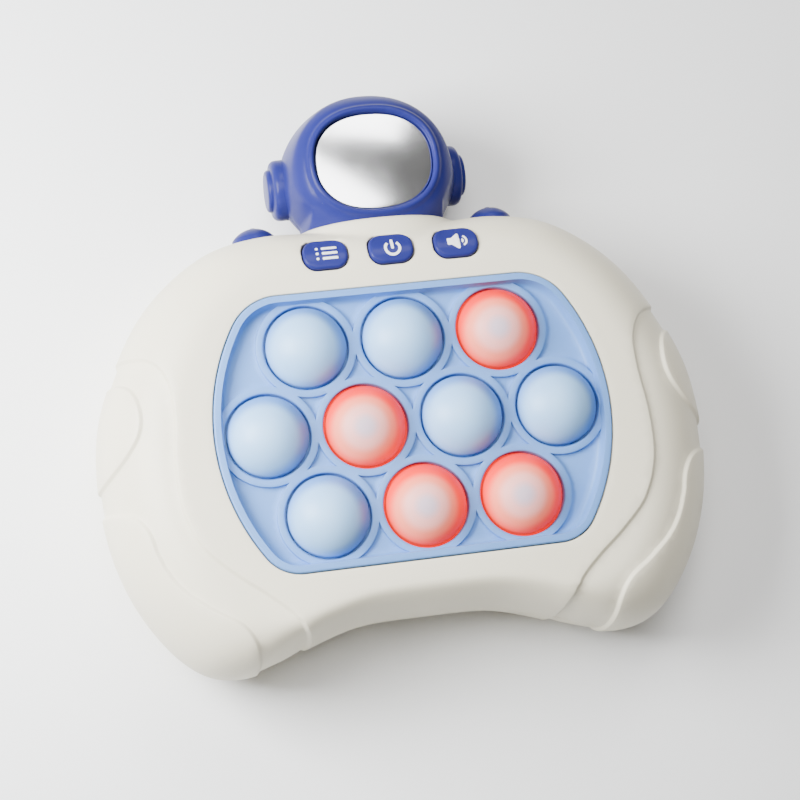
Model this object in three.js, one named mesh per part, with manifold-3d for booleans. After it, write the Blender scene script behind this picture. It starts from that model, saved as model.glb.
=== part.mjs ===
// Handheld electronic bubble pop game, in millimetres, lying on its flat back with +Z towards the player.
// The origin is on the back face under the middle of the bubble panel, and +Y points to the helmet.
import * as THREE from 'three';
import { mergeVertices } from 'three/addons/utils/BufferGeometryUtils.js';
import Module from 'manifold-3d';

const wasm = await Module();
wasm.setup();

// Body: two moulded halves that meet at the parting plane
const GRIP_WIDTH = 31.5;
const PANEL_MARGIN = 24.3;
const WALL = 2.3;
const GAP = 0.3;
const OVERRUN = 1;
const WAVE_DEPTH = 0.9;

// Bubbles stand in rows of three, four and three on a triangular grid
const BUBBLE_RADIUS = 11.5;
const BUBBLE_SPACING = 4;
const BUBBLE_CROWN = 7.6;
const BUBBLE_WALL = 1.3;
const BUBBLE_FOOT = 0.8;
const BUBBLE_FOOT_HEIGHT = 1.1;
const BUBBLE_TRAVEL = 4;
const PRESS_CLEARANCE = 0.4;

// Silicone panel: straight top and bottom, ends bowed out on a large radius
const PANEL_BOW_MARGIN = 3;
const PANEL_FLAT_MARGIN = 3.2;
const PANEL_BOW_RADIUS = 59.6;
const PANEL_CORNER_RADIUS = 9;
const PANEL_FLANGE = 2.6;
const RIM_WIDTH = 2.2;
const RIM_PROUD = 0.5;
const SEAT_DEPTH = 2;
const PIT_DEPTH = 1.3;
const PIT_FLOOR = 1.7;
const COLLAR_WIDTH = 2.1;

// Function buttons above the panel
const BUTTON_WIDTH = 12.5;
const BUTTON_DEPTH = 8.8;
const BUTTON_CORNER = 3.7;
const BUTTON_PITCH = 18.5;
const BUTTON_PLACE_SHARE = 0.436;
const BUTTON_TRAVEL = 1;
const BUTTON_PROUD = 0.6;

// Helmet, centred on the parting plane, with its neck held in the body's top edge
const HELMET_WIDTH = 51.6;
const HELMET_CROWN = 27;
const HELMET_CHEEK = 11;
const HELMET_LIFT = 1.5;
const HELMET_WALL = 2;
const NECK_WIDTH = 42;
const NECK_THICKNESS = 25.4;
const NECK_PROUD = 0.6;
const NECK_DEPTH_SHARE = 0.395;

// Inside: circuit board, light frame, batteries and loudspeaker
const BOARD_THICKNESS = 1.6;
const BOARD_CLEARANCE = 6;
const LAMP_ROOM = 3.9;
const FRAME_FLOOR = 1.7;
const BATTERY_RADIUS = 7.1;
const BATTERY_LENGTH = 49.2;
const CELL_SPACING = 0.6;
const CONTACT_ROOM = 3.4;
const BAY_HEADROOM = 1.1;
const BAY_WALL = 1.5;
const BAY_NECK_SPACING = 2.9;
const DOOR_RECESS = 0.3;
const DOOR_THICKNESS = 2;
const SPEAKER_RADIUS = 18;
const SPEAKER_WALL = 1.5;

// Body outlines as shares of half the width and half the depth, from the bottom middle to the top middle.
// The widest outline lies in the parting plane, and the face outline is where the flat front begins.
const widestShares = [
  [0, -0.826], [0.22, -0.836], [0.38, -0.898], [0.486, -0.958],
  [0.608, -1], [0.711, -0.978], [0.794, -0.9], [0.897, -0.708], [0.966, -0.481],
  [0.998, -0.24], [1, -0.016], [0.982, 0.192], [0.916, 0.442], [0.824, 0.66],
  [0.708, 0.821], [0.566, 0.933], [0.38, 0.982], [0.17, 0.992], [0, 0.994],
];
const faceShares = [
  [0, -0.705], [0.2, -0.713], [0.335, -0.75], [0.41, -0.782],
  [0.497, -0.79], [0.572, -0.745], [0.63, -0.673], [0.688, -0.529], [0.723, -0.353],
  [0.74, -0.176], [0.74, 0], [0.723, 0.16], [0.671, 0.353], [0.607, 0.505],
  [0.532, 0.617], [0.445, 0.694], [0.31, 0.729], [0.142, 0.738], [0, 0.74],
];
const REST_ROUNDING_SHARE = 0.6;

// Heights follow from what is stacked between the back and the face
const doorSeat = DOOR_RECESS + DOOR_THICKNESS + GAP;
const cellHeight = doorSeat + GAP + BATTERY_RADIUS;
const bayTop = cellHeight + BATTERY_RADIUS + BAY_HEADROOM;
const partingHeight = bayTop + BAY_WALL + GAP;
const boardHeight = partingHeight + BOARD_CLEARANCE;
const boardTop = boardHeight + BOARD_THICKNESS;
const frameBottom = boardTop + LAMP_ROOM;
const wellFloor = frameBottom + FRAME_FLOOR;
const footBottom = wellFloor + PRESS_CLEARANCE + BUBBLE_TRAVEL;
const footTop = footBottom + BUBBLE_FOOT_HEIGHT;
const frameTop = footTop;
const panelUnderside = footTop + GAP;
const pitHeight = panelUnderside + PIT_FLOOR;
const bubbleSeat = pitHeight + PIT_DEPTH;
const bodyThickness = bubbleSeat + SEAT_DEPTH;
const rimHeight = bodyThickness + RIM_PROUD;

// The panel fits round the bubbles, and the body round the panel
const rowCounts = [3, 4, 3];
const cellCount = 3;
const bubblePitch = 2 * BUBBLE_RADIUS + BUBBLE_SPACING;
const rowPitch = bubblePitch * Math.sin(Math.PI / 3);
const panelWidth = (Math.max(...rowCounts) - 1) * bubblePitch + 2 * (BUBBLE_RADIUS + PANEL_BOW_MARGIN);
const panelHeight = (rowCounts.length - 1) * rowPitch + 2 * (BUBBLE_RADIUS + PANEL_FLAT_MARGIN);
const cellPitch = 2 * BATTERY_RADIUS + CELL_SPACING;
const bayDepth = (cellCount - 1) * cellPitch + 2 * (BATTERY_RADIUS + GAP);
const bayHalfLength = BATTERY_LENGTH / 2 + CONTACT_ROOM;
const speakerRing = SPEAKER_RADIUS + GAP + SPEAKER_WALL;
const restShare = THREE.MathUtils.lerp(widestShares[0][1], faceShares[0][1], REST_ROUNDING_SHARE);
const bodyWidth = panelWidth + 2 * GRIP_WIDTH;
const bodyDepth = panelHeight + 2 * PANEL_MARGIN;

// Places along Y
const bodyTopY = bodyDepth / 2;
const buttonY = panelHeight / 2 + BUTTON_PLACE_SHARE * PANEL_MARGIN;
const neckFlangeLowY = bodyTopY - NECK_DEPTH_SHARE * PANEL_MARGIN;
const neckTopY = bodyTopY + NECK_PROUD;
const helmetMiddleY = neckTopY + HELMET_CHEEK;
const helmetTopY = helmetMiddleY + HELMET_CROWN;
const helmetThickness = 2 * (partingHeight - HELMET_LIFT);
const bayLowY = neckFlangeLowY - BAY_NECK_SPACING - BAY_WALL - bayDepth;
const bayMiddleY = bayLowY + bayDepth / 2;
const speakerY = (bayLowY - BAY_WALL + restShare * bodyTopY + WALL) / 2;

// Facet counts
const ROUND_SIDES = 12;
const SMALL_SIDES = 8;
const HOLE_SIDES = 6;
const SAMPLES_PER_SPAN = 2;
const ARC_STEPS = 3;
const CORNER_STEPS = 2;
const MERGE_DISTANCE = 0.0001;

// Solid forms: a geometry becomes a solid once its shared corners are merged and its faces point out

function solidOf(form) {
  if (!form.isBufferGeometry) return form;
  const bare = form.clone();
  bare.deleteAttribute('normal');
  bare.deleteAttribute('uv');
  const merged = mergeVertices(bare, MERGE_DISTANCE);
  const corners = merged.getAttribute('position');
  const faces = [];
  const [a, b, c] = [new THREE.Vector3(), new THREE.Vector3(), new THREE.Vector3()];
  let volume = 0;
  for (let i = 0; i < merged.index.count; i += 3) {
    const face = [0, 1, 2].map((corner) => merged.index.getX(i + corner));
    if (new Set(face).size < face.length) continue;
    faces.push(...face);
    [a, b, c].forEach((corner, at) => corner.fromBufferAttribute(corners, face[at]));
    volume += a.dot(b.cross(c));
  }
  if (volume < 0) faces.reverse();
  return new wasm.Manifold(new wasm.Mesh({
    numProp: 3,
    vertProperties: new Float32Array(corners.array),
    triVerts: new Uint32Array(faces),
  }));
}

function join(...forms) {
  return forms.map(solidOf).reduce((sum, form) => sum.add(form));
}

function cut(form, ...tools) {
  return tools.map(solidOf).reduce((left, tool) => left.subtract(tool), solidOf(form));
}

function common(form, limit) {
  return solidOf(form).intersect(solidOf(limit));
}

function geometryOf(form) {
  const mesh = solidOf(form).getMesh();
  const geometry = new THREE.BufferGeometry();
  geometry.setAttribute('position', new THREE.BufferAttribute(new Float32Array(mesh.vertProperties), 3));
  geometry.setIndex(new THREE.BufferAttribute(new Uint32Array(mesh.triVerts), 1));
  geometry.computeVertexNormals();
  return geometry;
}

// A flat outline raised from one height to another
function plate(shape, low, high, curveSegments = ARC_STEPS) {
  const options = { depth: high - low, bevelEnabled: false, curveSegments };
  return new THREE.ExtrudeGeometry(shape, options).translate(0, 0, low);
}

function rod(radius, x, y, low, high, sides = SMALL_SIDES) {
  const geometry = new THREE.CylinderGeometry(radius, radius, high - low, sides);
  return geometry.rotateX(Math.PI / 2).translate(x, y, (low + high) / 2);
}

function block(xSize, ySize, x, y, low, high) {
  return new THREE.BoxGeometry(xSize, ySize, high - low).translate(x, y, (low + high) / 2);
}

// A profile of radius and height pairs turned about +Z
function turned(profile, sides = ROUND_SIDES) {
  const points = profile.map(([radius, height]) => new THREE.Vector2(radius, height));
  return new THREE.LatheGeometry(points, sides).rotateX(Math.PI / 2);
}

// A closed form through matching outlines, each a list of points at its own height
function loft(levels) {
  const count = levels[0].outline.length;
  const positions = levels.flatMap(
    ({ outline, height }) => outline.flatMap((point) => [point.x, point.y, height]),
  );
  const index = [];
  for (let level = 0; level + 1 < levels.length; level += 1) {
    for (let i = 0; i < count; i += 1) {
      const low = level * count;
      const next = (i + 1) % count;
      index.push(low + i, low + next, low + count + next, low + i, low + count + next, low + count + i);
    }
  }
  const top = (levels.length - 1) * count;
  THREE.ShapeUtils.triangulateShape(levels[0].outline, []).forEach(([a, b, c]) => index.push(c, b, a));
  THREE.ShapeUtils.triangulateShape(levels.at(-1).outline, [])
    .forEach((face) => index.push(...face.map((corner) => top + corner)));
  const geometry = new THREE.BufferGeometry();
  geometry.setAttribute('position', new THREE.Float32BufferAttribute(positions, 3));
  geometry.setIndex(index);
  return geometry;
}

// An oval outline; a power of 2 is an ellipse and a higher one is squarer
function oval(halfWidth, halfDepth, power, count) {
  return Array.from({ length: count }, (_, i) => {
    const angle = (2 * Math.PI * i) / count;
    const reach = (value) => Math.sign(value) * Math.abs(value) ** (2 / power);
    return new THREE.Vector2(halfWidth * reach(Math.cos(angle)), halfDepth * reach(Math.sin(angle)));
  });
}

function roundedBox(width, depth, corner, x = 0, y = 0) {
  const [right, top] = [width / 2 - corner, depth / 2 - corner];
  const shape = new THREE.Shape();
  shape.absarc(x + right, y - top, corner, -Math.PI / 2, 0);
  shape.absarc(x + right, y + top, corner, 0, Math.PI / 2);
  shape.absarc(x - right, y + top, corner, Math.PI / 2, Math.PI);
  shape.absarc(x - right, y - top, corner, Math.PI, 1.5 * Math.PI);
  return shape;
}

const parts = new THREE.Group();

function addPart(name, form, finish) {
  const mesh = new THREE.Mesh(geometryOf(form), new THREE.MeshStandardMaterial(finish));
  mesh.name = name;
  parts.add(mesh);
}

const CREAM_PLASTIC = { color: 0xe8e4dc, roughness: 0.45, metalness: 0 };
const BLUE_SILICONE = { color: 0xaac8e6, roughness: 0.55, metalness: 0 };
const LIT_SILICONE = { ...BLUE_SILICONE, color: 0xff6a55, emissive: 0xff3a28, emissiveIntensity: 0.5 };
const ROYAL_BLUE = { color: 0x4450a8, roughness: 0.35, metalness: 0 };
const MIRROR = { color: 0xe6e8ea, roughness: 0.08, metalness: 1 };
const WHITE_PLASTIC = { color: 0xf4f4f2, roughness: 0.5, metalness: 0 };
const BOARD_GREEN = { color: 0x1f6b3a, roughness: 0.5, metalness: 0 };
const BRIGHT_METAL = { color: 0xc8ccd0, roughness: 0.3, metalness: 1 };
const DARK_CONE = { color: 0x202224, roughness: 0.8, metalness: 0 };
const CELL_SLEEVE = { color: 0x3c6e4a, roughness: 0.35, metalness: 0.1 };

// Body: each half is lofted from its widest outline in the parting plane to its flat face

const ROUND_ANGLES = [0, 28, 57, 90].map(THREE.MathUtils.degToRad);
const HOLLOW_ANGLES = [0, 40, 90].map(THREE.MathUtils.degToRad);
const HOLLOW_SKIP = 2;
const FRONT = 1;
const REAR = -1;

function shareOfBody([across, along]) {
  return new THREE.Vector2((across * bodyWidth) / 2, (along * bodyDepth) / 2);
}

function bodyOutline(shares) {
  const half = shares.map(shareOfBody);
  const mirrored = half.slice(1, -1).reverse().map((point) => new THREE.Vector2(-point.x, point.y));
  const knots = [...half, ...mirrored].map((point) => new THREE.Vector3(point.x, point.y, 0));
  const curve = new THREE.CatmullRomCurve3(knots, true, 'centripetal');
  const count = knots.length * SAMPLES_PER_SPAN;
  return Array.from({ length: count }, (_, i) => curve.getPoint(i / count))
    .map((point) => new THREE.Vector2(point.x, point.y));
}

const widestOutline = bodyOutline(widestShares);
const faceOutline = bodyOutline(faceShares);
const restOutline = widestOutline.map((point, i) => point.clone().lerp(faceOutline[i], REST_ROUNDING_SHARE));

function moveInward(outline, distance) {
  return outline.map((point, i) => {
    const after = outline[(i + 1) % outline.length];
    const along = new THREE.Vector2().subVectors(after, outline.at(i - 1)).normalize();
    return new THREE.Vector2(point.x - along.y * distance, point.y + along.x * distance);
  });
}

// One half of the body, shrunk by a distance: elliptical edges rise from the parting plane to the flat.
// The reach moves its open end back past the parting plane.
function bodyHalf(side, shrink, reach, angles = ROUND_ANGLES, skip = 1) {
  const kept = (_, i) => i % skip === 0;
  const edge = moveInward(widestOutline, shrink).filter(kept);
  const flat = (side === FRONT ? faceOutline : restOutline).filter(kept);
  const full = side === FRONT ? bodyThickness - partingHeight : partingHeight;
  const levels = angles.map((angle) => ({
    outline: edge.map((point, i) => point.clone().lerp(flat[i], 1 - Math.cos(angle))),
    height: partingHeight + side * (full - shrink) * Math.sin(angle),
  }));
  levels[0].height -= side * reach;
  return solidOf(loft(levels));
}

// Wave grips: a shallow band runs down each side, and two islands stay at full height inside it.
// Each line runs from outside the body, across the grip and out again.

const bandLineShares = [
  [1.1, 0.56], [0.89, 0.442], [0.803, 0.388], [0.758, 0.288], [0.75, 0.144], [0.765, -0.08],
  [0.758, -0.28], [0.711, -0.449], [0.618, -0.585], [0.526, -0.689], [0.451, -0.793],
  [0.405, -0.913], [0.37, -1.12],
];
const upperIslandShares = [
  [1.1, 0.385], [0.936, 0.34], [0.879, 0.288], [0.855, 0.192], [0.862, 0.088], [0.908, -0.008],
  [0.994, -0.112], [1.12, -0.224],
];
const lowerIslandShares = [
  [1.12, -0.16], [0.994, -0.232], [0.908, -0.28], [0.869, -0.353], [0.85, -0.449], [0.821, -0.545],
  [0.78, -0.625], [0.699, -0.721], [0.618, -0.801], [0.582, -0.881], [0.566, -0.994], [0.555, -1.15],
];
const FAR_SHARE = 1.25;

function grip(shares, hand) {
  const line = new THREE.SplineCurve(shares.map(shareOfBody)).getPoints(shares.length);
  const corners = [[FAR_SHARE, shares.at(-1)[1]], [FAR_SHARE, shares[0][1]]].map(shareOfBody);
  const outline = [...line, ...corners].map((point) => new THREE.Vector2(hand * point.x, point.y));
  return plate(new THREE.Shape(outline), -OVERRUN, bodyThickness + OVERRUN);
}

function waveCutter(side) {
  const bands = [-1, 1].map((hand) => cut(
    grip(bandLineShares, hand),
    grip(upperIslandShares, hand),
    grip(lowerIslandShares, hand),
  ));
  return cut(join(...bands), bodyHalf(side, WAVE_DEPTH, OVERRUN));
}

// Neck collar: the body's skin swells a little round the neck that passes through it

const COLLAR_SWELL = 1.2;
const COLLAR_REACH = 2.8;
const NECK_FLANGE = 1.2;
const NECK_FLANGE_THICKNESS = 1.8;
const NECK_SIDES = 22;
const NECK_POWER = 2.2;
const neckFlangeHighY = neckFlangeLowY + NECK_FLANGE_THICKNESS;

// An upright oval column along +Y, centred on the parting plane
function neckColumn(grow, low, high) {
  const outline = oval(NECK_WIDTH / 2 + grow, NECK_THICKNESS / 2 + grow, NECK_POWER, NECK_SIDES);
  const column = loft([{ outline, height: low }, { outline, height: high }]);
  return column.rotateX(-Math.PI / 2).translate(0, 0, partingHeight);
}

// The swollen skin of one half round the neck
function neckCollar(side) {
  return common(
    bodyHalf(side, -COLLAR_SWELL, -GAP / 2),
    neckColumn(COLLAR_REACH, neckFlangeHighY + GAP, helmetTopY),
  );
}

// Shoulder domes sit in round holes of the top edge, on the parting plane

const SHOULDER_PLACE_SHARE = 0.401;
const SHOULDER_RADIUS = 6.3;
const SHOULDER_CROWN = 3.3;
const SHOULDER_EDGE_DEPTH = 1.4;
const SHOULDER_FLANGE = 1.1;
const SHOULDER_FLANGE_THICKNESS = 1.7;
const SHOULDER_DEPTH = 7.8;
const shoulderX = (SHOULDER_PLACE_SHARE * bodyWidth) / 2;
const shoulderLowY = bodyTopY - SHOULDER_DEPTH;
const shoulderHighY = shoulderLowY + SHOULDER_FLANGE_THICKNESS;
const shoulderEdgeY = bodyTopY - SHOULDER_EDGE_DEPTH;
const shoulderTopY = shoulderEdgeY + SHOULDER_CROWN;

function alongY(geometry, x, height) {
  return geometry.rotateX(-Math.PI / 2).translate(x, 0, height);
}

function shoulderHoles() {
  return [-1, 1].map((hand) => alongY(
    rod(SHOULDER_RADIUS + GAP, 0, 0, shoulderHighY, shoulderTopY, ROUND_SIDES),
    hand * shoulderX,
    partingHeight,
  ));
}

// Fasteners: places are shares of half the body, or of half the panel for the light frame's screws

const SCREW_RADIUS = 1.2;
const SCREW_HEAD_RADIUS = 2.6;
const SCREW_HEAD_HEIGHT = 1.9;
const BOSS_RADIUS = 3.5;
const housingScrewShares = [[0.717, 0.529], [0.809, -0.16], [0.578, -0.801]];
const frameEarShares = [0.945, 0.971];
const EAR_RADIUS = 4.5;
const HOUSING_SCREW_FLOOR = 8;
const HOUSING_SCREW_BITE = 16;
const SCREW_COVER = 3.5;
const SCREW_ROOM = 0.5;
const housingScrewSeat = partingHeight - HOUSING_SCREW_FLOOR;
const housingScrewTip = partingHeight + HOUSING_SCREW_BITE;
const frameScrewTip = bodyThickness - SCREW_COVER;

const bothHands = (point) => [point, new THREE.Vector2(-point.x, point.y)];
const housingScrews = housingScrewShares.map(shareOfBody).flatMap(bothHands);
const earX = (frameEarShares[0] * panelWidth) / 2;
const earY = (frameEarShares[1] * panelHeight) / 2;
const frameScrews = [earY, -earY].flatMap((y) => bothHands(new THREE.Vector2(earX, y)));

// Bars that join the screw ears at the panel's top and bottom edges
function earBars(low, high) {
  return [-1, 1].map((end) => block(2 * earX, 2 * EAR_RADIUS, 0, end * (earY - EAR_RADIUS / 2), low, high));
}

function screwHole({ x, y }, low, high) {
  return rod(SCREW_RADIUS + GAP, x, y, low, high, HOLE_SIDES);
}

// Panel outline, moved outwards by a distance: two flats, two bowed sides and four tangent corners
function panelShape(grow) {
  const [halfWidth, halfHeight] = [panelWidth / 2 + grow, panelHeight / 2 + grow];
  const [side, corner] = [PANEL_BOW_RADIUS + grow, PANEL_CORNER_RADIUS + grow];
  const sideX = halfWidth - side;
  const cornerY = halfHeight - corner;
  const cornerX = sideX + Math.sqrt((side - corner) ** 2 - cornerY ** 2);
  const turn = Math.atan2(cornerY, cornerX - sideX);
  const shape = new THREE.Shape();
  shape.absarc(sideX, 0, side, -turn, turn);
  shape.absarc(cornerX, cornerY, corner, turn, Math.PI / 2);
  shape.absarc(-cornerX, cornerY, corner, Math.PI / 2, Math.PI - turn);
  shape.absarc(-sideX, 0, side, Math.PI - turn, Math.PI + turn);
  shape.absarc(-cornerX, -cornerY, corner, Math.PI + turn, 1.5 * Math.PI);
  shape.absarc(cornerX, -cornerY, corner, -Math.PI / 2, -turn);
  return shape;
}

// Bubbles are numbered from the top left, row by row
const bubblePlaces = rowCounts.flatMap((count, row) => Array.from({ length: count }, (_, i) => ({
  x: (i - (count - 1) / 2) * bubblePitch,
  y: (1 - row) * rowPitch,
})));
const litBubbles = [3, 5, 9, 10];
const twoDigits = (number) => String(number).padStart(2, '0');

const buttonPlaces = [-1, 0, 1].map((place) => place * BUTTON_PITCH);
const BUTTON_GUIDE_DEPTH = 6.4;
const BUTTON_GUIDE_MARGIN = 2.4;
const buttonGuideBottom = bodyThickness - BUTTON_GUIDE_DEPTH;

// Front housing: stepped skin, hollow, panel opening, button wells, neck collar and screw bosses

function frontHousing() {
  const skin = cut(bodyHalf(FRONT, 0, -GAP / 2), waveCutter(FRONT));
  const collar = neckCollar(FRONT);
  const fittings = [
    ...housingScrews.map(({ x, y }) => rod(BOSS_RADIUS, x, y, partingHeight + GAP / 2, bodyThickness)),
    ...frameScrews.map(({ x, y }) => rod(BOSS_RADIUS, x, y, panelUnderside, bodyThickness)),
    block(
      2 * BUTTON_PITCH + BUTTON_WIDTH + 2 * BUTTON_GUIDE_MARGIN,
      BUTTON_DEPTH + 2 * BUTTON_GUIDE_MARGIN,
      0,
      buttonY,
      buttonGuideBottom,
      bodyThickness,
    ),
  ];
  const trimmed = common(join(...fittings), bodyHalf(FRONT, WALL / 2, OVERRUN, HOLLOW_ANGLES, HOLLOW_SKIP));
  const hollow = cut(skin, bodyHalf(FRONT, WALL, OVERRUN, HOLLOW_ANGLES, HOLLOW_SKIP));
  return cut(
    join(hollow, trimmed, collar),
    neckColumn(GAP, neckFlangeLowY, helmetTopY),
    plate(panelShape(GAP), panelUnderside, bodyThickness + OVERRUN),
    ...buttonPlaces.map((x) => plate(
      roundedBox(BUTTON_WIDTH + 2 * GAP, BUTTON_DEPTH + 2 * GAP, BUTTON_CORNER + GAP, x, buttonY),
      buttonGuideBottom - BUTTON_TRAVEL - OVERRUN,
      bodyThickness + OVERRUN,
      CORNER_STEPS,
    )),
    ...housingScrews.map((place) => screwHole(place, partingHeight - OVERRUN, housingScrewTip + SCREW_ROOM)),
    ...frameScrews.map((place) => screwHole(place, partingHeight - OVERRUN, frameScrewTip + SCREW_ROOM)),
    ...shoulderHoles(),
  );
}

addPart('front_housing', frontHousing(), CREAM_PLASTIC);

// Battery bay: three cells side by side above the middle of the back, under a screwed door

const DOOR_LAP = 1.3;
const DOOR_EAR_RADIUS = 4.6;
const DOOR_EAR_OFFSET = 4.2;
const DOOR_LEDGE = 0.9;
const DOOR_SCREW_BITE = 6.4;
const DOOR_BOSS_HEIGHT = 9.4;
const doorScrewTip = doorSeat + DOOR_SCREW_BITE;
const doorBossTop = doorSeat + DOOR_BOSS_HEIGHT;
const cellYs = [-1, 0, 1].map((place) => bayMiddleY + place * cellPitch);
const doorEars = bothHands(new THREE.Vector2(bayHalfLength + DOOR_EAR_OFFSET, bayMiddleY));

function doorBody(grow, low, high) {
  const width = 2 * (bayHalfLength + DOOR_LAP + grow);
  const depth = bayDepth + 2 * (DOOR_LAP + grow);
  return join(
    plate(roundedBox(width, depth, DOOR_LAP + GAP, 0, bayMiddleY), low, high, CORNER_STEPS),
    ...doorEars.map(({ x, y }) => rod(DOOR_EAR_RADIUS + grow, x, y, low, high, ROUND_SIDES)),
  );
}

// Loudspeaker grille: slots that fill a circle below the middle of the back

const SPEAKER_HEIGHT = 5;
const GRILLE_RADIUS = 14;
const GRILLE_SLOT = 2.2;
const GRILLE_PITCH = 5;
const grillePlaces = [-2, -1, 0, 1, 2];
const speakerSeat = WALL + GAP;

function grilleSlot(place) {
  const offset = place * GRILLE_PITCH;
  const reach = Math.sqrt(GRILLE_RADIUS ** 2 - offset ** 2);
  const shape = roundedBox(GRILLE_SLOT, 2 * reach, GRILLE_SLOT / 2, offset, speakerY);
  return plate(shape, -OVERRUN, WALL + OVERRUN, CORNER_STEPS);
}

// Rear housing: the same skin and waves with a flat back, battery bay, speaker ring and screw wells

const WELL_WALL = 1.6;
const WELL_RADIUS = SCREW_HEAD_RADIUS + GAP;

function rearHousing() {
  const skin = cut(bodyHalf(REAR, 0, -GAP / 2), waveCutter(REAR));
  const bay = [2 * (bayHalfLength + BAY_WALL), bayDepth + 2 * BAY_WALL];
  const fittings = [
    ...housingScrews.map(({ x, y }) => rod(WELL_RADIUS + WELL_WALL, x, y, 0, partingHeight - GAP / 2)),
    ...doorEars.map(({ x, y }) => rod(DOOR_EAR_RADIUS, x, y, WALL / 2, doorBossTop)),
    block(...bay, 0, bayMiddleY, WALL / 2, bayTop + BAY_WALL),
    doorBody(GAP + DOOR_LEDGE, WALL / 2, doorSeat + DOOR_LEDGE),
    rod(speakerRing, 0, speakerY, WALL / 2, WALL + SPEAKER_HEIGHT, ROUND_SIDES),
  ];
  const trimmed = common(join(...fittings), bodyHalf(REAR, WALL / 2, OVERRUN, HOLLOW_ANGLES, HOLLOW_SKIP));
  const hollow = cut(skin, bodyHalf(REAR, WALL, OVERRUN, HOLLOW_ANGLES, HOLLOW_SKIP));
  return cut(
    join(hollow, trimmed, neckCollar(REAR)),
    neckColumn(GAP, neckFlangeLowY, helmetTopY),
    doorBody(GAP, -OVERRUN, doorSeat),
    block(2 * bayHalfLength, bayDepth, 0, bayMiddleY, 0, bayTop),
    rod(SPEAKER_RADIUS + GAP, 0, speakerY, WALL, partingHeight, ROUND_SIDES),
    ...grillePlaces.map(grilleSlot),
    ...housingScrews.map(({ x, y }) => rod(WELL_RADIUS, x, y, -OVERRUN, housingScrewSeat)),
    ...housingScrews.map((place) => screwHole(place, 0, partingHeight + OVERRUN)),
    ...doorEars.map((place) => screwHole(place, 0, doorBossTop - OVERRUN)),
    ...shoulderHoles(),
  );
}

addPart('rear_housing', rearHousing(), CREAM_PLASTIC);

// Silicone panel: hidden flange, raised rim, sunk pits and a round collar at each bubble

function bubblePanel() {
  const flange = plate(panelShape(PANEL_FLANGE - GAP), panelUnderside, bodyThickness - WALL - GAP);
  const rim = cut(
    plate(panelShape(0), panelUnderside, rimHeight),
    plate(panelShape(-RIM_WIDTH), pitHeight, rimHeight + OVERRUN),
  );
  const collars = bubblePlaces.map(({ x, y }) => rod(
    BUBBLE_RADIUS + COLLAR_WIDTH + GAP,
    x,
    y,
    pitHeight - OVERRUN,
    bubbleSeat,
    ROUND_SIDES,
  ));
  const middle = plate(panelShape(-RIM_WIDTH / 2), panelUnderside, rimHeight);
  return cut(
    join(rim, cut(flange, middle), common(join(...collars), middle)),
    ...bubblePlaces.map(({ x, y }) => rod(BUBBLE_RADIUS + GAP, x, y, 0, bodyThickness, ROUND_SIDES)),
  );
}

addPart('bubble_panel', bubblePanel(), BLUE_SILICONE);

// Press bubbles: a thin crowned cap with a skirt, and a foot that stops under the panel

const CROWN_STEPS = 3;
const CROWN_HOLLOW_STEPS = 2;

// Points of a round cap from its rim to its crown
function crown(radius, rimHeight, rise, steps) {
  const sphere = (radius ** 2 + rise ** 2) / (2 * rise);
  const spread = Math.asin(Math.min(1, radius / sphere));
  return Array.from({ length: steps + 1 }, (_, i) => {
    const angle = spread * (1 - i / steps);
    return [sphere * Math.sin(angle), rimHeight + rise - sphere * (1 - Math.cos(angle))];
  });
}

function bubble(x, y) {
  const inside = BUBBLE_RADIUS - BUBBLE_WALL;
  const profile = [
    [inside, footBottom],
    [BUBBLE_RADIUS + BUBBLE_FOOT, footBottom],
    [BUBBLE_RADIUS + BUBBLE_FOOT, footTop],
    [BUBBLE_RADIUS, footTop],
    ...crown(BUBBLE_RADIUS, bubbleSeat, BUBBLE_CROWN, CROWN_STEPS),
    ...crown(inside, bubbleSeat, BUBBLE_CROWN - BUBBLE_WALL, CROWN_HOLLOW_STEPS).reverse(),
    [inside, footBottom],
  ];
  return turned(profile).translate(x, y, 0);
}

bubblePlaces.forEach(({ x, y }, i) => {
  const finish = litBubbles.includes(i + 1) ? LIT_SILICONE : BLUE_SILICONE;
  addPart(`bubble_${twoDigits(i + 1)}`, bubble(x, y), finish);
});

// Light frame: a slab with a well under each bubble, with a guide hole for the press rod and a lamp window

const frameWellRadius = BUBBLE_RADIUS + BUBBLE_FOOT + GAP;
const ROD_RADIUS = 2.4;
const ROD_HEAD_RADIUS = 5.2;
const ROD_HEAD_HEIGHT = 1.4;
const LAMP_INSET = 4.1;
const LAMP_WINDOW = 4;
const lampOffset = BUBBLE_RADIUS - LAMP_INSET;

function lightFrame() {
  const slab = join(
    plate(panelShape(0), frameBottom, frameTop),
    ...frameScrews.map(({ x, y }) => rod(EAR_RADIUS, x, y, boardTop + GAP, frameTop)),
    ...earBars(frameBottom, frameTop),
  );
  const wells = bubblePlaces.map(({ x, y }) => (
    rod(frameWellRadius, x, y, wellFloor, frameTop + OVERRUN, ROUND_SIDES)
  ));
  return cut(
    common(slab, bodyHalf(FRONT, WALL + GAP, OVERRUN, HOLLOW_ANGLES, HOLLOW_SKIP)),
    ...wells,
    ...bubblePlaces.map(({ x, y }) => rod(ROD_RADIUS + GAP, x, y, 0, frameTop, HOLE_SIDES)),
    ...bubblePlaces.map(({ x, y }) => block(LAMP_WINDOW, LAMP_WINDOW, x + lampOffset, y, 0, frameTop)),
    ...frameScrews.map((place) => screwHole(place, 0, bodyThickness)),
  );
}

addPart('light_frame', lightFrame(), WHITE_PLASTIC);

// Main board: contacts and lamps for the bubbles, three button switches and the sound chip

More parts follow.
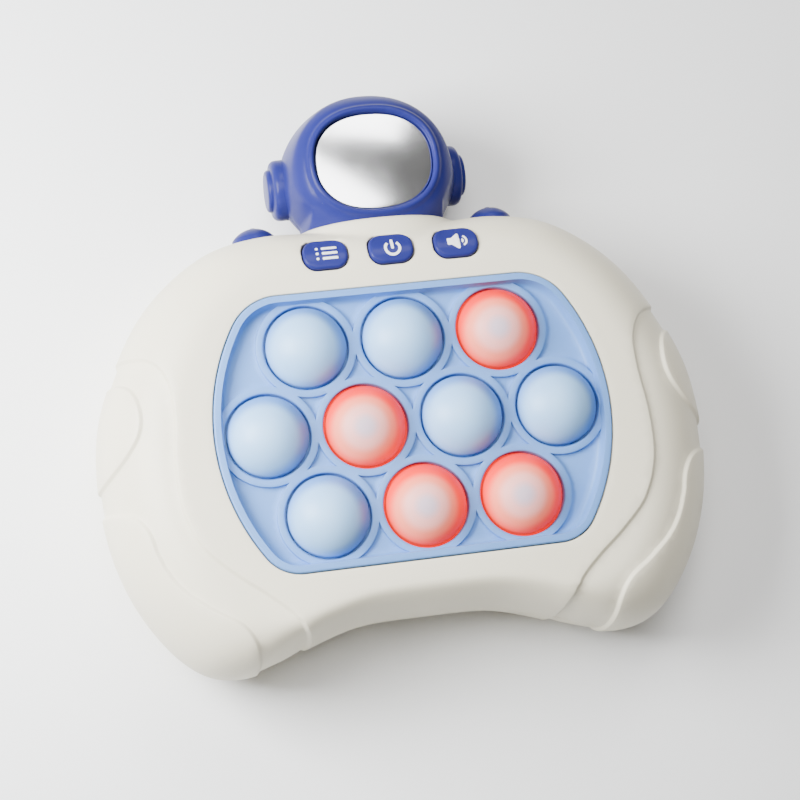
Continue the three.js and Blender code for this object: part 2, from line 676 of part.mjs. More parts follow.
const CONTACT_SIZE = 6;
const CONTACT_HEIGHT = 0.8;
const LAMP_SIZE = 2.8;
const LAMP_HEIGHT = 1.6;
const SWITCH_SIZE = 6;
const SWITCH_HEIGHT = 3.5;
const SWITCH_CAP_RADIUS = 1.7;
const SWITCH_CAP_HEIGHT = 1;
const STEM_SETBACK = 1.1;
const TONGUE_MARGIN = 7.5;
const BOARD_NECK_SPACING = 0.8;
const CHIP_RADIUS = 6.5;
const CHIP_HEIGHT = 1.8;
const PLUG_WIDTH = 7.5;
const PLUG_DEPTH = 5;
const PLUG_HEIGHT = 4;
const PLUG_X = 38;
const buttonStemY = buttonY - STEM_SETBACK;
const tongueWidth = 2 * (BUTTON_PITCH + TONGUE_MARGIN);
const boardTopY = neckFlangeLowY - BOARD_NECK_SPACING;

function mainBoard() {
  const sheet = join(
    plate(panelShape(0), boardHeight, boardTop),
    block(tongueWidth, boardTopY, 0, boardTopY / 2, boardHeight, boardTop),
    ...frameScrews.map(({ x, y }) => rod(EAR_RADIUS, x, y, boardHeight, boardTop)),
    ...earBars(boardHeight, boardTop),
  );
  const inBoard = boardTop - BOARD_THICKNESS / 2;
  const switchTop = boardTop + SWITCH_HEIGHT;
  return cut(
    join(
      sheet,
      ...bubblePlaces.flatMap(({ x, y }) => [
        block(CONTACT_SIZE, CONTACT_SIZE, x, y, inBoard, boardTop + CONTACT_HEIGHT),
        block(LAMP_SIZE, LAMP_SIZE, x + lampOffset, y, inBoard, boardTop + LAMP_HEIGHT),
      ]),
      ...buttonPlaces.flatMap((x) => [
        block(SWITCH_SIZE, SWITCH_SIZE, x, buttonStemY, inBoard, switchTop),
        rod(SWITCH_CAP_RADIUS, x, buttonStemY, inBoard, switchTop + SWITCH_CAP_HEIGHT),
      ]),
      rod(CHIP_RADIUS, 0, speakerY, boardHeight - CHIP_HEIGHT, inBoard, ROUND_SIDES),
      ...[-PLUG_X, PLUG_X].map((x) => (
        block(PLUG_WIDTH, PLUG_DEPTH, x, 0, boardHeight - PLUG_HEIGHT, inBoard)
      )),
    ),
    ...frameScrews.map((place) => screwHole(place, 0, bodyThickness)),
  );
}

addPart('main_board', mainBoard(), BOARD_GREEN);

// Press rods hang under the bubble crowns and stop just above their contacts at full travel

const rodTop = bubbleSeat + BUBBLE_CROWN - BUBBLE_WALL - 2 * GAP - ROD_HEAD_HEIGHT / 2;
const rodTip = boardTop + CONTACT_HEIGHT + BUBBLE_TRAVEL + GAP;

bubblePlaces.forEach(({ x, y }, i) => {
  const profile = [
    [0, rodTip],
    [ROD_RADIUS, rodTip],
    [ROD_RADIUS, rodTop - ROD_HEAD_HEIGHT],
    [ROD_HEAD_RADIUS, rodTop - ROD_HEAD_HEIGHT],
    [ROD_HEAD_RADIUS - ROD_HEAD_HEIGHT, rodTop],
    [0, rodTop],
  ];
  addPart(`press_rod_${twoDigits(i + 1)}`, turned(profile, HOLE_SIDES).translate(x, y, 0), WHITE_PLASTIC);
});

// Function buttons: the cap's top leans back with the skin, and a flange stops it under its well

const BUTTON_LEAN_ANGLE = THREE.MathUtils.degToRad(14.6);
const BUTTON_EDGE = 0.8;
const BUTTON_FLANGE = 1.3;
const BUTTON_FLANGE_SETBACK = 2;
const BUTTON_FLANGE_HEIGHT = 1.2;
const BUTTON_STEM_RADIUS = 2;
const buttonTop = bodyThickness + BUTTON_PROUD;

function buttonPiece(x) {
  const flangeTop = buttonGuideBottom - GAP;
  const level = (shrink, height) => ({
    outline: roundedBox(BUTTON_WIDTH - 2 * shrink, BUTTON_DEPTH - 2 * shrink, BUTTON_CORNER - shrink)
      .getPoints(CORNER_STEPS)
      .slice(0, -1),
    height,
  });
  const cap = loft([
    level(0, flangeTop),
    level(0, buttonTop - BUTTON_EDGE),
    level(BUTTON_EDGE / 3, buttonTop - BUTTON_EDGE / 3),
    level(BUTTON_EDGE, buttonTop),
  ]);
  const lean = new THREE.Matrix4().makeShear(0, 0, 0, -Math.tan(BUTTON_LEAN_ANGLE), 0, 0);
  cap.applyMatrix4(lean).translate(x, buttonY, 0);
  const body = cut(cap, block(BUTTON_WIDTH * 2, BUTTON_DEPTH * 2, x, buttonY, 0, flangeTop - GAP));
  return join(
    body,
    block(
      BUTTON_WIDTH + 2 * BUTTON_FLANGE,
      BUTTON_DEPTH - 2 * BUTTON_FLANGE_SETBACK,
      x,
      buttonY,
      flangeTop - BUTTON_FLANGE_HEIGHT,
      flangeTop,
    ),
    rod(
      BUTTON_STEM_RADIUS,
      x,
      buttonStemY,
      boardTop + SWITCH_HEIGHT + SWITCH_CAP_HEIGHT + BUTTON_TRAVEL + GAP,
      flangeTop,
    ),
  );
}

['menu_button', 'power_button', 'volume_button'].forEach((name, i) => {
  addPart(name, buttonPiece(buttonPlaces[i]), ROYAL_BLUE);
});

// Helmet: an oval shell on a neck, in two halves, with a bezel and a mirrored visor

const HELMET_POWER = 2.15;
const HELMET_SIDES = 22;
const VISOR_WIDTH = 33.6;
const VISOR_HEIGHT = 28.4;
const VISOR_OFFSET = 2.4;
const VISOR_POWER = 2.3;
const VISOR_DEPTH = 2.9;
const VISOR_THICKNESS = 1.4;
const VISOR_BULGE = 0.9;
const BEZEL_WIDTH = 2;
const BEZEL_HEIGHT = 3;
const BEZEL_LEDGE = 1.6;
const BEZEL_EDGE = 0.9;
const BEZEL_FLARE = 6;
const BEZEL_FLARE_DEPTH = 2.6;
const visorY = helmetMiddleY + VISOR_OFFSET;
const visorSeat = partingHeight + helmetThickness / 2 - VISOR_DEPTH;
const bezelTop = visorSeat + BEZEL_HEIGHT;
const VISOR_SIDES = 20;
const visorBulgeShares = [[0, 0], [0.33, 0.75], [0.66, 1]];

const NECK_RISE_ANGLE = THREE.MathUtils.degToRad(35);
const crownAngles = [0, 22, 44, 64, 80].map(THREE.MathUtils.degToRad);

// Helmet outlines from the neck to the crown, standing along +Y on the parting plane
function helmetForm(shrink, neckLow) {
  const outline = (width, thickness) => (
    oval(width / 2 - shrink, thickness / 2 - shrink, HELMET_POWER, HELMET_SIDES)
  );
  const neckY = neckTopY + shrink;
  const rise = Math.sin(NECK_RISE_ANGLE);
  const levels = [
    { outline: outline(NECK_WIDTH, NECK_THICKNESS), height: neckLow },
    { outline: outline(NECK_WIDTH, NECK_THICKNESS), height: neckY },
    {
      outline: outline(
        THREE.MathUtils.lerp(NECK_WIDTH, HELMET_WIDTH, rise),
        THREE.MathUtils.lerp(NECK_THICKNESS, helmetThickness, rise),
      ),
      height: THREE.MathUtils.lerp(neckY, helmetMiddleY, (2 * NECK_RISE_ANGLE) / Math.PI),
    },
    ...crownAngles.map((angle) => ({
      outline: outline(HELMET_WIDTH, helmetThickness).map((point) => point.multiplyScalar(Math.cos(angle))),
      height: helmetMiddleY + (helmetTopY - shrink - helmetMiddleY) * Math.sin(angle),
    })),
  ];
  levels.at(-1).height = helmetTopY - shrink;
  return solidOf(loft(levels).rotateX(-Math.PI / 2).translate(0, 0, partingHeight));
}

function visorLevel(grow, height) {
  return { outline: oval(VISOR_WIDTH / 2 + grow, VISOR_HEIGHT / 2 + grow, VISOR_POWER, VISOR_SIDES), height };
}

function visorPlate(grow, low, high) {
  return loft([visorLevel(grow, low), visorLevel(grow, high)]).translate(0, visorY, 0);
}

// The bezel is a rounded rim that flares down into the shell, but not over the collar below it
function visorBezel() {
  const rim = loft([
    visorLevel(BEZEL_WIDTH, visorSeat - BEZEL_LEDGE),
    visorLevel(BEZEL_WIDTH, bezelTop - BEZEL_EDGE),
    visorLevel(BEZEL_WIDTH - BEZEL_EDGE, bezelTop),
  ]).translate(0, visorY, 0);
  const flare = loft([
    visorLevel(BEZEL_FLARE, visorSeat - BEZEL_FLARE_DEPTH),
    visorLevel(BEZEL_WIDTH, bezelTop - BEZEL_EDGE),
  ]).translate(0, visorY, 0);
  const aboveNeck = block(
    HELMET_WIDTH,
    HELMET_CHEEK + HELMET_CROWN,
    0,
    (neckTopY + helmetTopY) / 2 + GAP,
    partingHeight,
    bezelTop,
  );
  return join(rim, common(flare, aboveNeck));
}

function helmetShell() {
  const flange = neckColumn(NECK_FLANGE, neckFlangeLowY, neckFlangeHighY);
  const seat = cut(
    visorPlate(BEZEL_WIDTH, visorSeat - BEZEL_LEDGE, visorSeat),
    visorPlate(-BEZEL_LEDGE, partingHeight, bezelTop),
  );
  return cut(
    join(helmetForm(0, neckFlangeLowY), flange, visorBezel()),
    cut(helmetForm(HELMET_WALL, neckFlangeLowY - OVERRUN), seat),
    visorPlate(GAP, visorSeat, bezelTop + OVERRUN),
  );
}

// The shell's half in front of the parting plane, or the half behind it
function helmetHalf(side) {
  const start = partingHeight + (side * GAP) / 2;
  const end = partingHeight + side * helmetThickness;
  const [low, high] = side === FRONT ? [start, end] : [end, start];
  return common(helmetShell(), block(2 * HELMET_WIDTH, 2 * helmetTopY, 0, helmetMiddleY, low, high));
}

addPart('helmet_front', helmetHalf(FRONT), ROYAL_BLUE);
addPart('helmet_back', helmetHalf(REAR), ROYAL_BLUE);

function visorMirror() {
  const low = visorSeat + GAP;
  const level = (inwardShare, riseShare) => ({
    outline: oval(
      (VISOR_WIDTH / 2) * (1 - inwardShare),
      (VISOR_HEIGHT / 2) * (1 - inwardShare),
      VISOR_POWER,
      VISOR_SIDES,
    ),
    height: low + VISOR_THICKNESS + VISOR_BULGE * riseShare,
  });
  const bottom = { outline: level(0, 0).outline, height: low };
  return loft([bottom, ...visorBulgeShares.map((shares) => level(...shares))]).translate(0, visorY, 0);
}

addPart('visor_mirror', visorMirror(), MIRROR);

// Ear pods: two-step discs whose inner ends follow the helmet's side

const POD_OFFSET = 1.8;
const POD_DROP = 2;
const POD_RADIUS = 8.8;
const POD_CAP_RADIUS = 6.4;
const POD_PROUD = 1;
const POD_CAP_HEIGHT = 2.4;
const POD_LENGTH = 12;
const POD_EDGE = 1;
const podY = helmetMiddleY + POD_OFFSET;
const podHeight = partingHeight - POD_DROP;
const podShoulderX = HELMET_WIDTH / 2 + POD_PROUD;
const podFaceX = podShoulderX + POD_CAP_HEIGHT;
const podRootX = podShoulderX - POD_LENGTH;

function earPod(hand) {
  const disc = turned([
    [0, podRootX],
    [POD_RADIUS, podRootX],
    [POD_RADIUS, podShoulderX - POD_EDGE],
    [POD_RADIUS - POD_EDGE, podShoulderX],
    [POD_CAP_RADIUS, podShoulderX],
    [POD_CAP_RADIUS, podFaceX - POD_EDGE],
    [POD_CAP_RADIUS - POD_EDGE, podFaceX],
    [0, podFaceX],
  ]);
  disc.rotateY((hand * Math.PI) / 2).translate(0, podY, podHeight);
  return cut(disc, helmetForm(-GAP, neckFlangeLowY));
}

addPart('ear_pod_left', earPod(-1), ROYAL_BLUE);
addPart('ear_pod_right', earPod(1), ROYAL_BLUE);

// Shoulder domes: a flange inside the top edge and a round cap outside it

function shoulderDome(x) {
  const profile = [
    [0, shoulderLowY],
    [SHOULDER_RADIUS + SHOULDER_FLANGE, shoulderLowY],
    [SHOULDER_RADIUS + SHOULDER_FLANGE, shoulderHighY - GAP],
    [SHOULDER_RADIUS, shoulderHighY - GAP],
    ...crown(SHOULDER_RADIUS, shoulderEdgeY, SHOULDER_CROWN, ARC_STEPS),
  ];
  return alongY(turned(profile), x, partingHeight);
}

addPart('shoulder_dome_left', shoulderDome(-shoulderX), ROYAL_BLUE);
addPart('shoulder_dome_right', shoulderDome(shoulderX), ROYAL_BLUE);

// Loudspeaker: frame, cone and magnet, facing the grille

const CONE_EDGE_RADIUS = 15.5;
const CONE_RADIUS = 6;
const CONE_THICKNESS = 0.8;
const MAGNET_RADIUS = 8.5;
const MAGNET_HEIGHT = 5;
const FRAME_SHEET = 1;

function speakerPiece(profile) {
  return turned(profile).translate(0, speakerY, speakerSeat);
}

addPart('speaker_frame', speakerPiece([
  [CONE_EDGE_RADIUS, 0],
  [SPEAKER_RADIUS, 0],
  [SPEAKER_RADIUS, FRAME_SHEET],
  [MAGNET_RADIUS, SPEAKER_HEIGHT],
  [CONE_RADIUS, SPEAKER_HEIGHT],
  [CONE_RADIUS, SPEAKER_HEIGHT - FRAME_SHEET],
  [MAGNET_RADIUS - FRAME_SHEET, SPEAKER_HEIGHT - FRAME_SHEET],
  [CONE_EDGE_RADIUS, FRAME_SHEET],
  [CONE_EDGE_RADIUS, 0],
]), BRIGHT_METAL);
addPart('speaker_cone', speakerPiece([
  [0, SPEAKER_HEIGHT - 2 * FRAME_SHEET - CONE_THICKNESS],
  [CONE_RADIUS, SPEAKER_HEIGHT - 2 * FRAME_SHEET - CONE_THICKNESS],
  [CONE_EDGE_RADIUS - GAP, 0],
  [CONE_EDGE_RADIUS - GAP, CONE_THICKNESS],
  [CONE_RADIUS, SPEAKER_HEIGHT - 2 * FRAME_SHEET],
  [0, SPEAKER_HEIGHT - 2 * FRAME_SHEET],
]), DARK_CONE);
addPart('speaker_magnet', speakerPiece([
  [0, SPEAKER_HEIGHT + GAP],
  [MAGNET_RADIUS, SPEAKER_HEIGHT + GAP],
  [MAGNET_RADIUS, SPEAKER_HEIGHT + MAGNET_HEIGHT],
  [0, SPEAKER_HEIGHT + MAGNET_HEIGHT],
]), BRIGHT_METAL);

// Cells lie along X and turn about in series, so each end of the bay has plus and minus contacts

const NUB_RADIUS = 2.7;
const NUB_LENGTH = 1.2;
const CONTACT_PLATE = 0.5;
const CONTACT_PLATE_WIDTH = 8;
const SPRING_RADIUS = 3.5;
const SPRING_TIP_RADIUS = 2;
const contactX = bayHalfLength - GAP - CONTACT_PLATE;
const cellSides = 10;

cellYs.forEach((y, i) => {
  const hand = i % 2 === 0 ? 1 : -1;
  const cell = turned([
    [0, -BATTERY_LENGTH / 2],
    [BATTERY_RADIUS, -BATTERY_LENGTH / 2],
    [BATTERY_RADIUS, BATTERY_LENGTH / 2],
    [NUB_RADIUS, BATTERY_LENGTH / 2],
    [NUB_RADIUS, BATTERY_LENGTH / 2 + NUB_LENGTH],
    [0, BATTERY_LENGTH / 2 + NUB_LENGTH],
  ], cellSides);
  addPart(`battery_${i + 1}`, cell.rotateY((hand * Math.PI) / 2).translate(0, y, cellHeight), CELL_SLEEVE);
});

// A plate across one or two cells, with a spring cone at each minus end and a dimple at each plus end
function contact(hand, cells) {
  const ys = cells.map((cell) => cellYs[cell]);
  const [low, high] = [Math.min(...ys), Math.max(...ys)];
  const sheet = new THREE.BoxGeometry(CONTACT_PLATE, high - low + CONTACT_PLATE_WIDTH, CONTACT_PLATE_WIDTH)
    .translate(hand * (contactX + CONTACT_PLATE / 2), (low + high) / 2, cellHeight);
  const bumps = cells.map((cell) => {
    const plusEnd = (cell % 2 === 0 ? 1 : -1) === hand;
    const reach = contactX - GAP - BATTERY_LENGTH / 2 - (plusEnd ? NUB_LENGTH : 0);
    const bump = turned([
      [0, -CONTACT_PLATE / 2],
      [SPRING_RADIUS, -CONTACT_PLATE / 2],
      [SPRING_TIP_RADIUS, reach],
      [0, reach],
    ], SMALL_SIDES);
    return bump.rotateY((-hand * Math.PI) / 2).translate(hand * contactX, cellYs[cell], cellHeight);
  });
  return join(sheet, ...bumps);
}

addPart('contact_minus', contact(-1, [0]), BRIGHT_METAL);
addPart('contact_link_1', contact(1, [0, 1]), BRIGHT_METAL);
addPart('contact_link_2', contact(-1, [1, 2]), BRIGHT_METAL);
addPart('contact_plus', contact(1, [2]), BRIGHT_METAL);

// Battery door with an ear and a captive screw at each end

const DOOR_SCREW_DEPTH = 1.3;

addPart('battery_door', cut(
  doorBody(0, DOOR_RECESS, DOOR_RECESS + DOOR_THICKNESS),
  ...doorEars.flatMap(({ x, y }) => [
    rod(SCREW_HEAD_RADIUS + GAP, x, y, 0, DOOR_RECESS + DOOR_SCREW_DEPTH),
    screwHole({ x, y }, 0, doorBossTop),
  ]),
), CREAM_PLASTIC);

// A screw about +Z with its head at the low end
function screw({ x, y }, seat, headHeight, tip) {
  return turned([
    [0, seat - headHeight],
    [SCREW_HEAD_RADIUS, seat - headHeight],
    [SCREW_HEAD_RADIUS, seat],
    [SCREW_RADIUS, seat],
    [SCREW_RADIUS, tip],
    [0, tip],
  ], HOLE_SIDES).translate(x, y, 0);
}

doorEars.forEach((place, i) => {
  const seat = DOOR_RECESS + DOOR_SCREW_DEPTH - GAP;
  const form = screw(place, seat, seat - DOOR_RECESS, doorScrewTip);
  addPart(`battery_door_screw_${i + 1}`, form, BRIGHT_METAL);
});
housingScrews.forEach((place, i) => {
  addPart(
    `housing_screw_${i + 1}`,
    screw(place, housingScrewSeat - GAP, SCREW_HEAD_HEIGHT, housingScrewTip),
    BRIGHT_METAL,
  );
});
frameScrews.forEach((place, i) => {
  const form = screw(place, boardHeight - GAP, SCREW_HEAD_HEIGHT, frameScrewTip);
  addPart(`board_screw_${i + 1}`, form, BRIGHT_METAL);
});

export default parts;
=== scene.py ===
import math

import bpy
import numpy as np
from mathutils import Matrix, Vector
from mathutils.geometry import delaunay_2d_cdt
from mathutils.kdtree import KDTree


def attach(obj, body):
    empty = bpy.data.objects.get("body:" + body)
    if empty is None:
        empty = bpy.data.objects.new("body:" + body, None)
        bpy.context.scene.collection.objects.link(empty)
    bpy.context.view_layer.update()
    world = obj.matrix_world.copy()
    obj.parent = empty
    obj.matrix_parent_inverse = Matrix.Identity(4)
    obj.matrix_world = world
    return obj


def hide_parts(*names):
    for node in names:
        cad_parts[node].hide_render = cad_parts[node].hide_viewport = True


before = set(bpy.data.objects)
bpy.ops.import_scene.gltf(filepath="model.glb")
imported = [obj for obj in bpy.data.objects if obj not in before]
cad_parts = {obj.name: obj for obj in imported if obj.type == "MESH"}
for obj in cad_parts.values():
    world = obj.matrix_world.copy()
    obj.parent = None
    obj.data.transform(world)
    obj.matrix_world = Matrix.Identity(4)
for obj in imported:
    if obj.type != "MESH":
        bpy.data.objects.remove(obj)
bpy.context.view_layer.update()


# Camera and studio light
# The camera looks down on the toy from the lower left. A soft key light stands close by on the left, two
# large soft boxes hang overhead and behind the helmet, and one below the floor lights the flat back.

MM = 0.001
CAMERA_PLACE = (-103.48, -93.61, 571.21)
CAMERA_RIGHT = Vector((0.977, -0.139, 0.159)).normalized()
CAMERA_BACK = Vector((-0.183, -0.182, 0.966)).normalized()
CAMERA_LENS = 90
CAMERA_SENSOR = 36
ROOM_COLOUR = (1, 0.97, 0.92, 1)
ROOM_STRENGTH = 0.14

camera_up = CAMERA_BACK.cross(CAMERA_RIGHT).normalized()
camera_right = camera_up.cross(CAMERA_BACK)
camera_data = bpy.data.cameras.new("camera")
camera_data.lens = CAMERA_LENS
camera_data.sensor_width = CAMERA_SENSOR
camera_data.clip_start = 0.01
camera = bpy.data.objects.new("camera", camera_data)
bpy.context.scene.collection.objects.link(camera)
turn = Matrix((camera_right, camera_up, CAMERA_BACK)).transposed().to_4x4()
camera.matrix_world = Matrix.Translation(Vector(CAMERA_PLACE) * MM) @ turn
bpy.context.scene.camera = camera


def soft_light(name, place, size, power, colour):
    """A square light that faces the middle of the toy; its place is in metres."""
    data = bpy.data.lights.new(name, "AREA")
    data.size = size
    data.energy = power
    data.color = colour
    light = bpy.data.objects.new(name, data)
    bpy.context.scene.collection.objects.link(light)
    light.location = place
    light.rotation_euler = Vector(place).to_track_quat("Z", "Y").to_euler()


soft_light("key light", (-0.27, 0.07, 0.25), 0.2, 4.6, (0.97, 0.99, 1))
soft_light("overhead box", (-0.13, 0.14, 1.0), 0.5, 6.6, (1, 1, 1))
soft_light("rear box", (0.14, 0.7, 0.85), 0.42, 4.6, (1, 1, 1))
soft_light("lower box", (-0.3, -0.25, -1.0), 0.5, 9.0, (1, 1, 1))

world = bpy.data.worlds.new("room")
world.use_nodes = True
room = world.node_tree.nodes["Background"].inputs
room["Color"].default_value = ROOM_COLOUR
room["Strength"].default_value = ROOM_STRENGTH
bpy.context.scene.world = world


class Finish:
    """A procedural material on Object coordinates, built up from a Principled shader."""

    def __init__(self, name, colour, roughness, metallic=0.0):
        self.material = bpy.data.materials.new(name)
        self.material.use_nodes = True
        self.nodes = self.material.node_tree.nodes
        self.shader = self.nodes["Principled BSDF"]
        self.colour = (*colour, 1)
        self.set("Base Color", self.colour)
        self.set("Roughness", roughness)
        self.set("Metallic", metallic)
        self.place = self.nodes.new("ShaderNodeTexCoord").outputs["Object"]

    def set(self, socket, value):
        self.shader.inputs[socket].default_value = value

    def link(self, output, socket):
        self.material.node_tree.links.new(output, socket)

    def noise(self, scale, detail=2.0):
        texture = self.nodes.new("ShaderNodeTexNoise")
        texture.inputs["Scale"].default_value = scale
        texture.inputs["Detail"].default_value = detail
        self.link(self.place, texture.inputs["Vector"])
        return texture.outputs["Fac"]

    def shift(self, value, low, high):
        """A value from 0 to 1 moved to a range."""
        node = self.nodes.new("ShaderNodeMapRange")
        node.inputs["To Min"].default_value = low
        node.inputs["To Max"].default_value = high
        self.link(value, node.inputs["Value"])
        return node.outputs["Result"]

    def ramp(self, value, stops):
        """Colours along a value, as pairs of place and colour."""
        node = self.nodes.new("ShaderNodeValToRGB")
        node.color_ramp.interpolation = "EASE"
        while len(node.color_ramp.elements) < len(stops):
            node.color_ramp.elements.new(0.5)
        for element, (position, colour) in zip(node.color_ramp.elements, stops):
            element.position = position
            element.color = (*colour, 1)
        self.link(value, node.inputs["Fac"])
        return node.outputs["Color"]

    def mottle(self, scale, amount):
        """Slow changes of colour, as moulded plastic has."""
        dark = tuple(c * (1 - amount) for c in self.colour[:3])
        light = tuple(min(1, c * (1 + amount)) for c in self.colour[:3])
        mixed = self.ramp(self.noise(scale), [(0.3, dark), (0.7, light)])
        self.link(mixed, self.shader.inputs["Base Color"])
        return self

    def glow_inside(self, weight, depth):
        """Light that enters the silicone and comes out beside where it went in."""
        self.set("Subsurface Weight", weight)
        self.set("Subsurface Radius", (0.5, 0.8, 1.0))
        self.set("Subsurface Scale", depth * MM)

    def grain(self, scale, height, roughness_low, roughness_high):
        """Fine relief, with the roughness following it."""
        fine = self.noise(scale, 3.0)
        bump = self.nodes.new("ShaderNodeBump")
        bump.inputs["Distance"].default_value = height * MM
        bump.inputs["Strength"].default_value = 0.6
        self.link(fine, bump.inputs["Height"])
        self.link(bump.outputs["Normal"], self.shader.inputs["Normal"])
        self.link(self.shift(fine, roughness_low, roughness_high), self.shader.inputs["Roughness"])
        return self


# Housing halves
# Two cream ABS mouldings that meet at a parting line half way up, the front one with the panel opening,
# the button wells and the swollen collar round the helmet's neck. A shallow band with two raised islands
# runs down each grip. The skin is worked out on a flat layout in which the curved sides are unrolled.

BODY_WIDTH = 173.0
BODY_DEPTH = 124.77
BODY_THICKNESS = 44.0
PARTING_HEIGHT = 20.0
GAP = 0.3
WAVE_DEPTH = 0.9
WAVE_EDGE = 1.3
PER_SPAN = 24
SKIN_SPACING = 2.1
LINE_SPACING = 0.9
BATCH = 1500
EDGE_RADIUS = 0.4
WALL = 2.3
WIDEST_SHARES = [
    (0, -0.826), (0.22, -0.836), (0.38, -0.898), (0.486, -0.958), (0.608, -1), (0.711, -0.978),
    (0.794, -0.9), (0.897, -0.708), (0.966, -0.481), (0.998, -0.24), (1, -0.016), (0.978, 0.19),
    (0.907, 0.436), (0.814, 0.648), (0.7, 0.805), (0.563, 0.919), (0.4, 0.967), (0.21, 0.961), (0, 0.96),
]
FACE_SHARES = [
    (0, -0.705), (0.2, -0.713), (0.335, -0.75), (0.41, -0.782), (0.497, -0.79), (0.572, -0.745),
    (0.63, -0.673), (0.688, -0.529), (0.723, -0.353), (0.74, -0.176), (0.74, 0), (0.723, 0.16),
    (0.671, 0.353), (0.607, 0.505), (0.532, 0.617), (0.445, 0.694), (0.31, 0.729), (0.142, 0.738),
    (0, 0.74),
]
REST_ROUNDING_SHARE = 0.6
BAND_SHARES = [
    (1.1, 0.56), (0.89, 0.442), (0.803, 0.388), (0.758, 0.288), (0.75, 0.144), (0.765, -0.08),
    (0.758, -0.28), (0.711, -0.449), (0.618, -0.585), (0.526, -0.689), (0.451, -0.793), (0.405, -0.913),
    (0.37, -1.12),
]
UPPER_ISLAND_SHARES = [
    (1.1, 0.385), (0.936, 0.34), (0.879, 0.288), (0.855, 0.192), (0.862, 0.088), (0.908, -0.008),
    (0.994, -0.112), (1.12, -0.224),
]
LOWER_ISLAND_SHARES = [
    (1.12, -0.16), (0.994, -0.232), (0.908, -0.28), (0.869, -0.353), (0.85, -0.449), (0.821, -0.545),
    (0.78, -0.625), (0.699, -0.721), (0.618, -0.801), (0.582, -0.881), (0.566, -0.994), (0.555, -1.15),
]
NECK_WIDTH = 42.0
NECK_THICKNESS = 25.4
NECK_POWER = 2.2
COLLAR_Y = 60.75
COLLAR_LEAN = 0.065
COLLAR_FRONT_THICKNESS = 34.4
COLLAR_LIP = 0.4
COLLAR_REACH = 3.0
SHOULDER_X = 34.69
SHOULDER_RADIUS = 6.3
PANEL_WELL_DEPTH = 5.0
BUTTON_WELL_DEPTH = 4.5
WAVE_LINES = (-0.5, -0.34, -0.17, 0, 0.17, 0.34, 0.5)
COLLAR_LINES = (COLLAR_LIP, 0.8, 1.2, 1.6, 2.0, 2.5, COLLAR_REACH)
BEYOND_EDGE = np.array([[0, 40.0]])
UP = np.array([0.0, 0.0, 1.0])
FRONT = 1
REAR = -1
half_body = np.array([BODY_WIDTH, BODY_DEPTH]) / 2


def smooth_curve(knots, per_span, closed):
    """Centripetal Catmull-Rom points through the knots."""
    knots = np.asarray(knots, float)
    count = len(knots)
    spans = count if closed else count - 1
    points = []
    for i in range(spans):
        if closed:
            before, start, end, after = (knots[(i + k) % count] for k in (-1, 0, 1, 2))
        else:
            start, end = knots[i], knots[i + 1]
            before = knots[i - 1] if i > 0 else 2 * start - end
            after = knots[i + 2] if i + 2 < count else 2 * end - start
        pairs = ((before, start), (start, end), (end, after))
        first, middle, last = (max(np.linalg.norm(b - a), 1e-6) ** 0.5 for a, b in pairs)
        leave = ((start - before) / first - (end - before) / (first + middle)) * middle + (end - start)
        reach = ((after - end) / last - (after - start) / (middle + last)) * middle + (end - start)
        t = (np.arange(per_span) / per_span)[:, None]
        points.append(
            start * (2 * t**3 - 3 * t**2 + 1) + end * (3 * t**2 - 2 * t**3)
            + leave * (t**3 - 2 * t**2 + t) + reach * (t**3 - t**2)
        )
    if not closed:
        points.append(knots[-1:])
    return np.concatenate(points)


def body_outline(shares):
    half_side = np.array(shares) * half_body
    other = half_side[1:-1][::-1] * (-1, 1)
    return smooth_curve(np.concatenate([half_side, other]), PER_SPAN, True)


widest = body_outline(WIDEST_SHARES)
face_outline = body_outline(FACE_SHARES)
rest_outline = widest + (face_outline - widest) * REST_ROUNDING_SHARE


def inside(outline, points):
    """Whether each point lies inside a closed outline."""
    found = np.zeros(len(points), bool)
    x, y = points[:, 0], points[:, 1]
    for a, b in zip(outline, np.roll(outline, -1, axis=0)):
        if a[1] == b[1]:
            continue
        crosses = (a[1] > y) != (b[1] > y)
        found ^= crosses & (x < (b[0] - a[0]) * (y - a[1]) / (b[1] - a[1]) + a[0])
    return found


def distance_to(line, points, closed=False):
    """Least distance from each point to a line of straight steps."""
    ends = np.roll(line, -1, axis=0) if closed else line[1:]
    starts = line if closed else line[:-1]
    least = np.full(len(points), np.inf)
    for a, b in zip(starts, ends):
        step = b - a
        length = max(step @ step, 1e-12)
        share = np.clip((points - a) @ step / length, 0, 1)
        offset = points - a - share[:, None] * step
        np.minimum(least, np.einsum("ij,ij->i", offset, offset), out=least)
    return np.sqrt(least)


def even_steps(line, spacing=None, count=None):
    """Points at even steps along a line, as many as are asked for or as the spacing gives."""
    lengths = np.concatenate([[0], np.cumsum(np.linalg.norm(np.diff(line, axis=0), axis=1))])
    count = count or max(2, int(round(lengths[-1] / spacing)) + 1)
    stations = np.linspace(0, lengths[-1], count)
    return np.stack([np.interp(stations, lengths, line[:, k]) for k in (0, 1)], axis=1)


def offset_line(line, distance):
    along = np.gradient(line, axis=0)
    along /= np.linalg.norm(along, axis=1)[:, None]
    return line + np.stack([along[:, 1], -along[:, 0]], axis=1) * distance


def soft_step(value):
    value = np.clip(value, 0, 1)
    return value * value * (3 - 2 * value)


